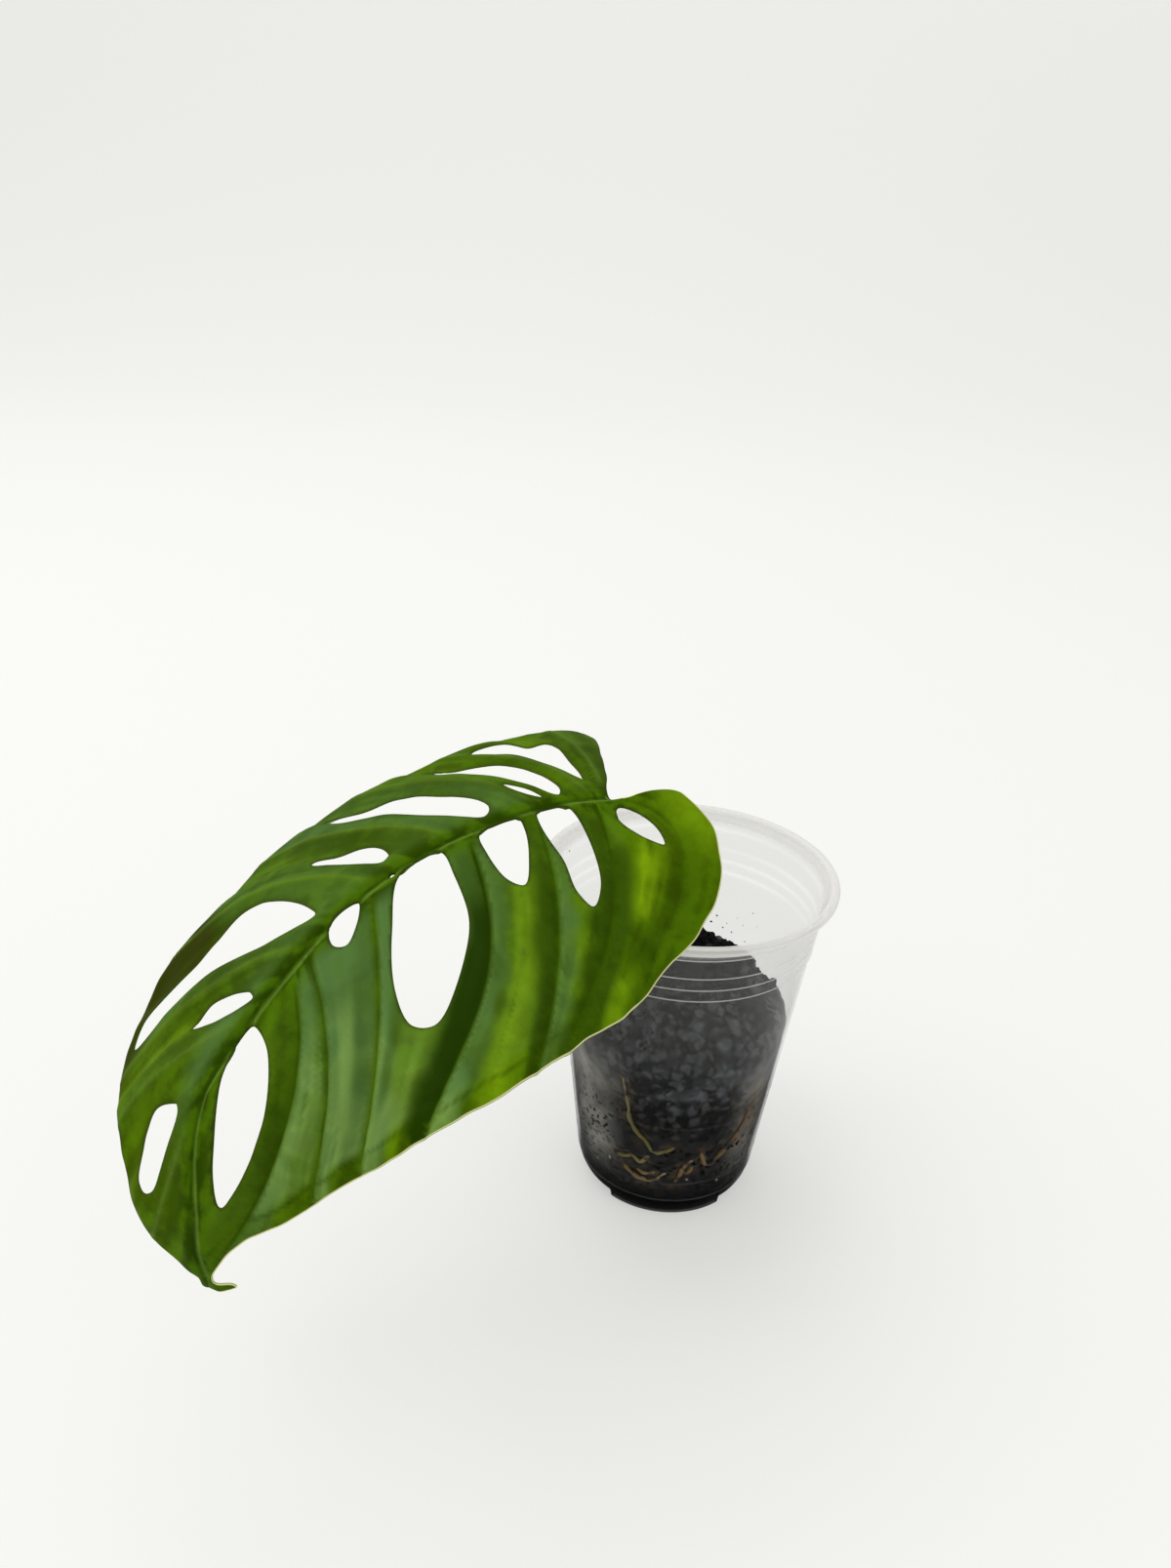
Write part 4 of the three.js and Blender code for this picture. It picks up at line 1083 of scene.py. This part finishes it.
def at_height(flat, height=0.0):
    """Flat places with a third coordinate."""
    return np.column_stack([flat, np.full(len(flat), height)])


def directions(share):
    """Directions along the blade and level across it, at shares of its length."""
    heading = np.polyval(LEAF_HEADING[::-1], share)
    pitch = np.polyval(LEAF_PITCH[::-1], share)
    level = around(1.0, heading + math.pi / 2, 0.0)
    return around(np.cos(pitch), heading, -np.sin(pitch)), level


def bent(flat):
    """Points of the bent blade at flat places, and the directions out of its upper side."""
    x, y = flat.T
    fine = np.linspace(0, 1, WALK_STEPS + 1)
    step = directions(fine)[0]
    walk = np.cumsum((step[1:] + step[:-1]) / 2 * LEAF_LENGTH / WALK_STEPS, axis=0)
    line = np.array(LEAF_BASE) + np.concatenate([np.zeros((1, 3)), walk])
    share = np.clip(x / LEAF_LENGTH, 0, 1)
    along, level = directions(share)
    roll = np.polyval(LEAF_ROLL[::-1], share)[:, None]
    across = np.cos(roll) * level - np.sin(roll) * np.cross(along, level)
    under = np.cross(across, along)
    point = np.stack([np.interp(share, fine, line[:, k]) for k in range(3)], axis=1)
    point += along * (x - share * LEAF_LENGTH)[:, None]
    side = np.where(y < 0, -1.0, 1.0)
    curl = np.where(y < 0, LEAF_CURL_LEFT, LEAF_CURL_RIGHT)
    turn = LEAF_FOLD + curl * np.abs(y)
    reach = (np.sin(turn) - math.sin(LEAF_FOLD)) / curl
    drop = (math.cos(LEAF_FOLD) - np.cos(turn)) / curl
    point += across * (side * reach)[:, None] + under * drop[:, None]
    return point, across * (side * np.sin(turn))[:, None] - under * np.cos(turn)[:, None]


def nearest_gaps(points, others):
    """How far each flat point is from the nearest of the others."""
    tree = KDTree(len(others))
    for i, place in enumerate(at_height(others)):
        tree.insert(place, i)
    tree.balance()
    return np.array([tree.find(place)[2] for place in at_height(points)])


def apart(points, others, gap):
    """The points that are further than gap from each other one."""
    return points[nearest_gaps(points, others) > gap]


def beside(line, gap):
    """The line moved sideways by gap."""
    ahead = np.gradient(line, axis=0)
    ahead /= np.linalg.norm(ahead, axis=1)[:, None]
    return line + np.stack([-ahead[:, 1], ahead[:, 0]], axis=1) * gap


def guide_lines():
    """Lines of points along the midrib and the side veins, so that their relief is clean."""
    places = np.arange(0.6, 189, VEIN_STEP)
    rib = np.stack([places, midrib_at(places)], axis=1)
    taken = [beside(rib, gap) for gap in RIB_GUIDES]
    for vein in VEINS_RIGHT + VEINS_LEFT:
        line = evenly(bezier(vein, 60), VEIN_STEP, False)
        for gap in VEIN_GUIDES:
            taken.append(apart(beside(line, gap)[2:], np.concatenate(taken), 0.6))
    return taken


def in_blade(points, lines):
    """True for each point inside the outline, the first of the lines, and outside the holes."""
    found = inside(points, lines[0])
    for hole in lines[1:]:
        found &= ~inside(points, hole)
    return found


def ring_edges(lines):
    """Neighbouring points round each closed line, numbered through all lines."""
    edges = []
    for line in lines:
        start = len(edges)
        edges += [(start + i, start + (i + 1) % len(line)) for i in range(len(line))]
    return edges


def flat_blade():
    """Flat points, triangles and border lines of the pierced blade."""
    outline = evenly(centripetal(LEAF_OUTLINE, True, 12), OUTLINE_STEP, True)
    holes = [evenly(centripetal(hole, True, 12), HOLE_STEP, True) for hole in LEAF_HOLES]
    waves = [noise_at(at_height(outline), WANDER_LENGTH, seed) for seed in (61, 62)]
    outline = outline + WANDER * np.stack(waves, axis=1)
    lines = [outline] + holes
    border = np.concatenate(lines)
    # Rows as far apart as in a grid of even triangles, and set off from the border by a hair
    rows = np.arange(*BLADE_SIDES, BLADE_STEP * 0.87)
    grid = np.array([(x + (0.5 * BLADE_STEP if k % 2 else 0), y)
                     for k, y in enumerate(rows) for x in np.arange(*BLADE_ENDS, BLADE_STEP)]) + 0.02
    grid = grid[in_blade(grid, lines)]
    # A ring of points just inside the margin keeps its pale rim narrow
    guides = np.concatenate([beside(outline, -0.5)] + guide_lines())
    guides = apart(guides[in_blade(guides, lines)], border, 0.42)
    grid = apart(grid, np.concatenate([border, guides]), 0.55)
    points = np.concatenate([border, guides, grid])
    found = delaunay_2d_cdt([Vector(p) for p in points], ring_edges(lines), [], 0, 1e-5)
    if len(found[0]) != len(points):
        raise RuntimeError("the blade's borders cross each other")
    points = np.array([v[:] for v in found[0]])
    triangles = np.array([face for face in found[2]])
    return points, triangles[in_blade(points[triangles].mean(axis=1), lines)], lines


def beyond(flat, vein, sign):
    """How far each point is past a side vein towards the tip, less than 0 before it, and how far along it."""
    line = longer(longer(bezier(vein, 40)[::-1], 6)[::-1], 14)
    gap, along = near_line(flat, line)
    place = np.minimum((along * (len(line) - 1)).astype(int), len(line) - 2)
    ahead, off = line[place + 1] - line[place], flat - line[place]
    tipward = sign * (ahead[:, 0] * off[:, 1] - ahead[:, 1] * off[:, 0]) > 0
    return np.where(tipward, gap, -gap), along


def blade_marks(flat, lines):
    """Where each flat point lies between the veins, and how far from veins, midrib and borders."""
    x, y = flat.T
    # Behind the stalk the halves part, and the narrow tab beside the gap belongs to the right one
    across = y - midrib_at(x) + 4.5 * rise(-x, 1, 7) * (y > -6)
    marks = {"across": across}
    for veins, mine, sign in ((VEINS_RIGHT, across >= 0, -1), (VEINS_LEFT, across < 0, 1)):
        gaps, steps = (np.array(rows) for rows in zip(*(beyond(flat, vein, sign) for vein in veins)))
        passed = np.cumprod(gaps > 0, axis=0).sum(axis=0)
        last = len(veins) - 1
        before, after = np.maximum(passed - 1, 0), np.minimum(passed, last)
        low = np.take_along_axis(gaps, before[None], 0)[0]
        high = -np.take_along_axis(gaps, after[None], 0)[0]
        low = np.where(passed == 0, np.maximum(OUTER_PANEL - high, 0.5), low)
        high = np.where(passed > last, np.maximum(OUTER_PANEL - low, 0.5), high)
        nearer = np.where(low < high, before, after)
        found = {
            "low": low, "high": high, "vein": np.minimum(low, high), "panel": low / (low + high),
            "index": passed + low / (low + high), "nearest": nearer,
            "along": np.take_along_axis(steps, nearer[None], 0)[0]}
        for key, values in found.items():
            marks[key] = np.where(mine, values, marks.get(key, values))
    marks["border"] = nearest_gaps(flat, np.concatenate(lines))
    marks["margin"] = near_line(flat, np.concatenate([lines[0], lines[0][:1]]))[0]
    return marks


def blade_relief(flat, marks, height):
    """How far the blade rises above its plain bend, in millimetres."""
    x, y = flat.T
    across, vein, margin = marks["across"], marks["vein"], marks["margin"]
    reach = np.abs(across)
    right = rise(across, -1.5, 1.5)
    place = at_height(flat)
    # The right half swells between its side veins, which lie in creases
    swell = height * (0.38 - bell(vein, 0, 4.6)) - 0.5 * bell(vein, 0, 0.85)
    seam = 0.35 * bell(margin, 7.5, 0.9) * rise(x, -10, 10) * fall(x, 150, 175)
    # The left half folds down from each side vein towards the tip, so that its strips have crests
    turn = rise(marks["panel"], 0.4, 0.64)
    down = 0.2 * (1 - turn) * np.minimum(marks["low"], 9) - 0.04 * turn * np.minimum(marks["high"], 9)
    fold = (0.35 + 0.3 * bell(vein, 0, 0.7) - down) * (0.3 + 0.7 * rise(margin, 0, 5))
    fold += EDGE_LIFT * rise(-y, 25, 60) * rise(x, 30, 60) * fall(x, 125, 142)
    halves = rise(reach, 2, 14) * (right * (swell - seam) + (1 - right) * fold)
    wave = 0.4 * noise_at(place, 17, 71) + 0.16 * noise_at(place, 6, 72)
    hem = -0.35 * bell(marks["border"], 0, 1.3)
    rib = 0.25 * bell(across, 0.5, 0.45) - 0.9 * bell(across, -0.2, 1.7)
    return halves + wave * rise(reach, 1, 8) + hem + rib


class LEAF_OT_make(bpy.types.Operator):
    """Makes the leaf blade with its holes, veins, midrib and drip tip"""
    bl_idname = "potted.make_leaf"
    bl_label = "Make leaf"

    def execute(self, context):
        settings = context.scene.potted_leaf
        flat, triangles, lines = flat_blade()
        marks = blade_marks(flat, lines)
        point, normal = bent(flat)
        base = point + normal * blade_relief(flat, marks, settings.relief / MM)[:, None]
        x, border, across = flat[:, 0], marks["border"], np.abs(marks["across"])
        half = settings.thickness / MM / 2 * (0.55 + 0.45 * rise(border, 0, 1.4))
        tip = 1 - 0.75 * np.clip(x / LEAF_LENGTH, 0, 1)
        rib = 1.2 * tip * bell(across, 0, 1.0) * rise(x, -2, 3) * rise(border, 0.2, 1.3)
        keel = 0.5 * tip * bell(marks["vein"], 0, 0.8) * rise(across, 1, 4)
        count = len(flat)
        rims = []
        edges = ring_edges(lines)
        for ring in np.split(np.arange(len(edges)), np.cumsum([len(line) for line in lines])[:-1]):
            out = np.cross(np.roll(base[ring], -1, axis=0) - np.roll(base[ring], 1, axis=0), normal[ring])
            rims.append(base[ring] + out / np.linalg.norm(out, axis=1)[:, None] * RIM_REACH)
        points = np.concatenate([
            base + normal * half[:, None], base - normal * (half + rib + keel)[:, None], *rims])
        faces = [tuple(t) for t in triangles] + [tuple(t[::-1] + count) for t in triangles]
        rim = 2 * count
        for a, b in edges:
            faces += [(a, rim + a, rim + b, b), (rim + a, a + count, b + count, rim + b)]
        spots = self.paint(flat, marks, count, len(edges))
        make_piece("leaf_skin", points, faces, leaf_material(settings), "leaf_blade", spots)
        return {"FINISHED"}

    def paint(self, flat, marks, count, rims):
        """What the material needs to know at each point: green, painted sheen, painted shade, painted
        highlights, rim and underside.
        """
        place = at_height(flat)
        x, y = flat.T
        across, border, margin, index = (marks[key] for key in ("across", "border", "margin", "index"))
        low, high, panel, vein = (marks[key] for key in ("low", "high", "panel", "vein"))
        reach = np.abs(across)
        right = rise(across, -1, 2)
        left = 1 - right
        start = rise(reach, 1.5, 8)
        drawn = np.stack([index * 9, marks["along"] * 3.2, right * 50], axis=1)
        streak = 0.7 * noise_at(drawn, 1.6, 81) + 0.5 * noise_at(drawn, 0.7, 85)
        blotch = noise_at(place, 6, 82)
        passed = np.minimum(index, len(PANELS_LEFT) - 0.01).astype(int)
        last = len(PANELS_RIGHT) - 1
        # Columns of the panel tables: painted shade after the first vein, bright green, painted sheen and
        # painted shade before the second vein, and clouds of painted sheen
        old, young, waxy, dim, cloud = np.where(
            across >= 0, np.array(PANELS_RIGHT)[np.minimum(passed, last)].T, np.array(PANELS_LEFT)[passed].T)
        # The painted shade on the tip's side of a vein narrows away from the midrib, and its border wanders
        width = (DARK_STRIP - DARK_STRIP_LOSS * rise(reach, 34, 56)) * (1 + 0.3 * blotch)
        old = old * fall(low / width, 0.45, 1) * rise(low, 0.1, 0.6)
        old *= 0.45 + 0.55 * rise(reach, 12, 28)
        dim = dim * fall(high, 3, 9) * rise(reach, 12, 20)
        strips = start * (0.97 * right + 0.7 * left) * np.maximum(old, dim) * (0.9 + 0.15 * streak)
        # The second panel of the right half has painted shade in a hollow below its brightest part
        hollow_shade = (0.5 * right * (np.abs(index - 1.5) < 0.5) * (1 + 0.5 * blotch)
                  * rise(y, 34, 44) * fall(y, 50, 58))
        # Painted shade over the left half, fading towards the tip, and in darker random blotches
        patches = 0.12 * left * fall(x, 95, 125) + 0.25 * rise(blotch, 0.1, 0.7)
        # The strip at the tip end of the left half turns away from the light, so it is painted a deep olive
        # shade
        turned = left * rise(x, 95, 108) * rise(-y, 38, 50) * fall(x, 150, 162)
        # Painted shade in the creases along the veins, in a crease near the margin and in the midrib's groove
        firm = np.maximum(np.array(PANELS_RIGHT)[np.minimum(marks["nearest"] + 1, last), 0], 0.45)
        crease = (0.85 * right * firm + 0.1 * left) * bell(vein, 0, 0.75) * start
        gather = 0.5 * right * bell(margin, 4.2 + 0.8 * blotch, 0.6) * rise(x, 20, 45)
        middle = 0.6 * bell(across, -0.6, 0.8) * rise(border, 0.2, 1)
        shade = np.maximum.reduce([strips, hollow_shade, patches, crease, gather, middle, 0.88 * turned])
        # Young green is brightest in the first two panels of the right half
        young = young * bell(panel, 0.45, 0.22) * rise(reach, 8, 24)
        first = right * (index < 2)
        young *= 1 - 0.95 * first * rise(y, 33, 42) * (1 - 0.5 * rise(y, 48, 58))
        young *= 0.75 + 0.25 * np.maximum(first, rise(y, 36, 48))
        bright = np.clip((0.15 + young * (0.7 + 0.75 * streak + 0.55 * blotch)) * start, 0, 1.4)
        # Painted light on the lobe behind the stalk, whose surface faces away
        bright += 0.5 * right * rise(-x, 10, 22) * fall(y, 12, 28)
        # Painted sheen lies in a strip before each vein and in clouds in the middle of the blade
        waxy = waxy * rise(high, 0.2, 1.2) * fall(high / (1 + 0.35 * blotch), 3, 7.5)
        waxy *= 0.8 + 0.35 * noise_at(place, 11, 83) + 0.25 * streak
        inner = rise(margin, 4, 7) * right + left
        clouds = cloud * inner * (0.75 + 0.4 * noise_at(place, 14, 84) + 0.35 * streak)
        clouds = clouds * rise(vein, 0.2, 1.4) + 0.8 * left * bell(x, 120, 20) * fall(reach, 6, 16)
        painted_sheen = (waxy * (1 - 0.65 * left) + clouds) * start * (1 - turned)
        pale = right * rise(x, 82, 100) * (0.62 + 0.8 * streak + 0.5 * blotch)
        # Painted highlights on the crests of the left half, on the far sides of the right half's creases and
        # on the ridge beside the midrib
        crest = 0.6 * bell(vein, 0.3, 0.35) * left
        crest += 0.2 * bell(high, 1.4, 0.5) * right * rise(waxy, 0.2, 0.5)
        veins = np.maximum(crest * start * rise(border, 0.5, 2.5),
                           0.5 * bell(across, 0.6, 0.5) * rise(border, 0.2, 1))
        # The rim is pale along the margin of the right half and brown elsewhere; the keel below is dark
        hem = right * bell(margin, 0, 0.2)
        edge = bell(border, 0, 0.5) * (0.65 - 0.6 * right * bell(margin, 0, 1.5))
        none = np.zeros(count)
        empty = np.zeros(rims)
        shared = {
            "bright": bright, "painted_sheen": np.clip(painted_sheen, 0, 0.9), "shade": np.clip(shade, 0, 0.95),
            "pale": np.clip(pale * rise(reach, 10, 30), 0, 1), "vein": veins,
            "streak": np.clip(0.5 + 0.4 * streak, 0, 1), "turned": turned}
        spots = {key: np.concatenate([value, value, empty]) for key, value in shared.items()}
        spots["under"] = np.concatenate([none, none + 1, empty + 0.3])
        spots["rim"] = np.concatenate([hem, none, 0.1 + 0.9 * hem[:rims]])
        below = np.maximum(edge, 0.9 * bell(across, 0, 1.8))
        spots["edge"] = np.concatenate([edge, below, 0.7 - 0.7 * hem[:rims]])
        spots["flat"] = np.concatenate([place, at_height(flat, 40), place[:rims]])
        return spots


# Stage

class STAGE_OT_make(bpy.types.Operator):
    """Makes the pale sweep, the soft lights and the camera"""
    bl_idname = "potted.make_stage"
    bl_label = "Make stage"

    # The camera, in millimetres from the middle of the cup and in radians
    CAMERA_PLACE = (-35.403, -365.004, 323.665)
    CAMERA_TILT = 0.4452
    CAMERA_ROLL = 0.0519
    LENS_PIXELS = 1306.515
    PHOTO_HEIGHT = 1607
    SENSOR = 36
    # The sweep, in metres
    SWEEP_REACH = 3.0
    SWEEP_BEND = 1.4
    SWEEP_TOP = 4.5
    # Each lamp as name, place, size and power
    LAMPS = (
        ("key", (-1.3, -0.5, 1.9), 1.6, 20),
        ("back", (-0.4, 1.0, 1.9), 1.4, 10),
        ("fill", (1.6, -1.2, 1.2), 1.6, 5),
    )

    def execute(self, context):
        settings = context.scene.potted_stage
        self.sweep(settings)
        self.camera(context)
        self.lights(context, settings)
        return {"FINISHED"}

    def sweep(self, settings):
        profile = [(-self.SWEEP_REACH, 0.0)]
        for turn in np.radians(np.linspace(0, 90, 17)):
            profile.append((self.SWEEP_REACH - self.SWEEP_BEND * (1 - math.sin(turn)),
                            self.SWEEP_BEND * (1 - math.cos(turn))))
        profile.append((self.SWEEP_REACH, self.SWEEP_TOP))
        points = [(x, y, z) for y, z in profile for x in (-6.0, -2.0, 2.0, 6.0)]
        faces = grid_faces(len(profile), 4, wrap=False)
        mesh = bpy.data.meshes.new("sweep")
        mesh.from_pydata(points, [], faces)
        mesh.shade_smooth()
        mesh.materials.append(floor_material(settings))
        sweep = bpy.data.objects.new("sweep", mesh)
        bpy.context.scene.collection.objects.link(sweep)

    def camera(self, context):
        data = bpy.data.cameras.new("camera")
        data.sensor_fit = "AUTO"
        data.sensor_width = self.SENSOR
        data.lens = self.LENS_PIXELS / self.PHOTO_HEIGHT * self.SENSOR
        data.clip_start = 0.01
        data.clip_end = 50
        camera = bpy.data.objects.new("camera", data)
        context.scene.collection.objects.link(camera)
        ahead = Vector((0, math.cos(self.CAMERA_TILT), -math.sin(self.CAMERA_TILT)))
        level = Vector((1, 0, 0))
        above = level.cross(ahead)
        right = level * math.cos(self.CAMERA_ROLL) + above * math.sin(self.CAMERA_ROLL)
        upward = above * math.cos(self.CAMERA_ROLL) - level * math.sin(self.CAMERA_ROLL)
        turn = Matrix((right, upward, -ahead)).transposed()
        place = Vector(self.CAMERA_PLACE) * MM + Vector(CUP_CENTRE)
        camera.matrix_world = Matrix.Translation(place) @ turn.to_4x4()
        context.scene.camera = camera

    def lights(self, context, settings):
        world = bpy.data.worlds.new("studio")
        world.use_nodes = True
        sky = world.node_tree.nodes["Background"]
        sky.inputs["Color"].default_value = (1, 1, 1, 1)
        sky.inputs["Strength"].default_value = 0.76 * settings.light
        context.scene.world = world
        context.scene.view_settings.view_transform = "Standard"
        middle = Vector((0, 0, 0.1))
        for name, place, size, power in self.LAMPS:
            data = bpy.data.lights.new(name, "AREA")
            data.shape = "SQUARE"
            data.size = size
            data.energy = power * settings.light
            lamp = bpy.data.objects.new(name, data)
            lamp.location = place
            lamp.visible_glossy = False
            lamp.rotation_euler = (middle - Vector(place)).to_track_quat("-Z", "Y").to_euler()
            context.scene.collection.objects.link(lamp)


class VIEW3D_PT_potted(bpy.types.Panel):
    """Lists the pieces and their settings"""
    bl_label = "Potted plant"
    bl_space_type = "VIEW_3D"
    bl_region_type = "UI"
    bl_category = "Potted plant"

    def draw(self, context):
        for operator, group in PIECES:
            box = self.layout.box()
            box.operator(operator.bl_idname)
            settings = getattr(context.scene, group)
            for name in settings.__annotations__:
                box.prop(settings, name)


GROUPS = {
    "potted_cup": CupSettings,
    "potted_soil": SoilSettings,
    "potted_root": RootSettings,
    "potted_stalk": StalkSettings,
    "potted_leaf": LeafSettings,
    "potted_stage": StageSettings,
}
PIECES = (
    (STAGE_OT_make, "potted_stage"),
    (LEAF_OT_make, "potted_leaf"),
    (STALK_OT_make, "potted_stalk"),
    (CUP_OT_make, "potted_cup"),
    (SOIL_OT_make, "potted_soil"),
    (ROOT_OT_make, "potted_root"),
)


def register():
    for name, group in GROUPS.items():
        bpy.utils.register_class(group)
        setattr(bpy.types.Scene, name, PointerProperty(type=group))
    for operator, _ in PIECES:
        bpy.utils.register_class(operator)
    bpy.utils.register_class(VIEW3D_PT_potted)


def unregister():
    bpy.utils.unregister_class(VIEW3D_PT_potted)
    for operator, _ in reversed(PIECES):
        bpy.utils.unregister_class(operator)
    for name, group in reversed(GROUPS.items()):
        delattr(bpy.types.Scene, name)
        bpy.utils.unregister_class(group)


def main():
    register()
    bpy.ops.potted.make_stage()
    bpy.ops.potted.make_leaf()
    bpy.ops.potted.make_stalk()
    bpy.ops.potted.make_cup()
    bpy.ops.potted.make_soil()
    bpy.ops.potted.make_roots()


if __name__ == "__main__":
    main()
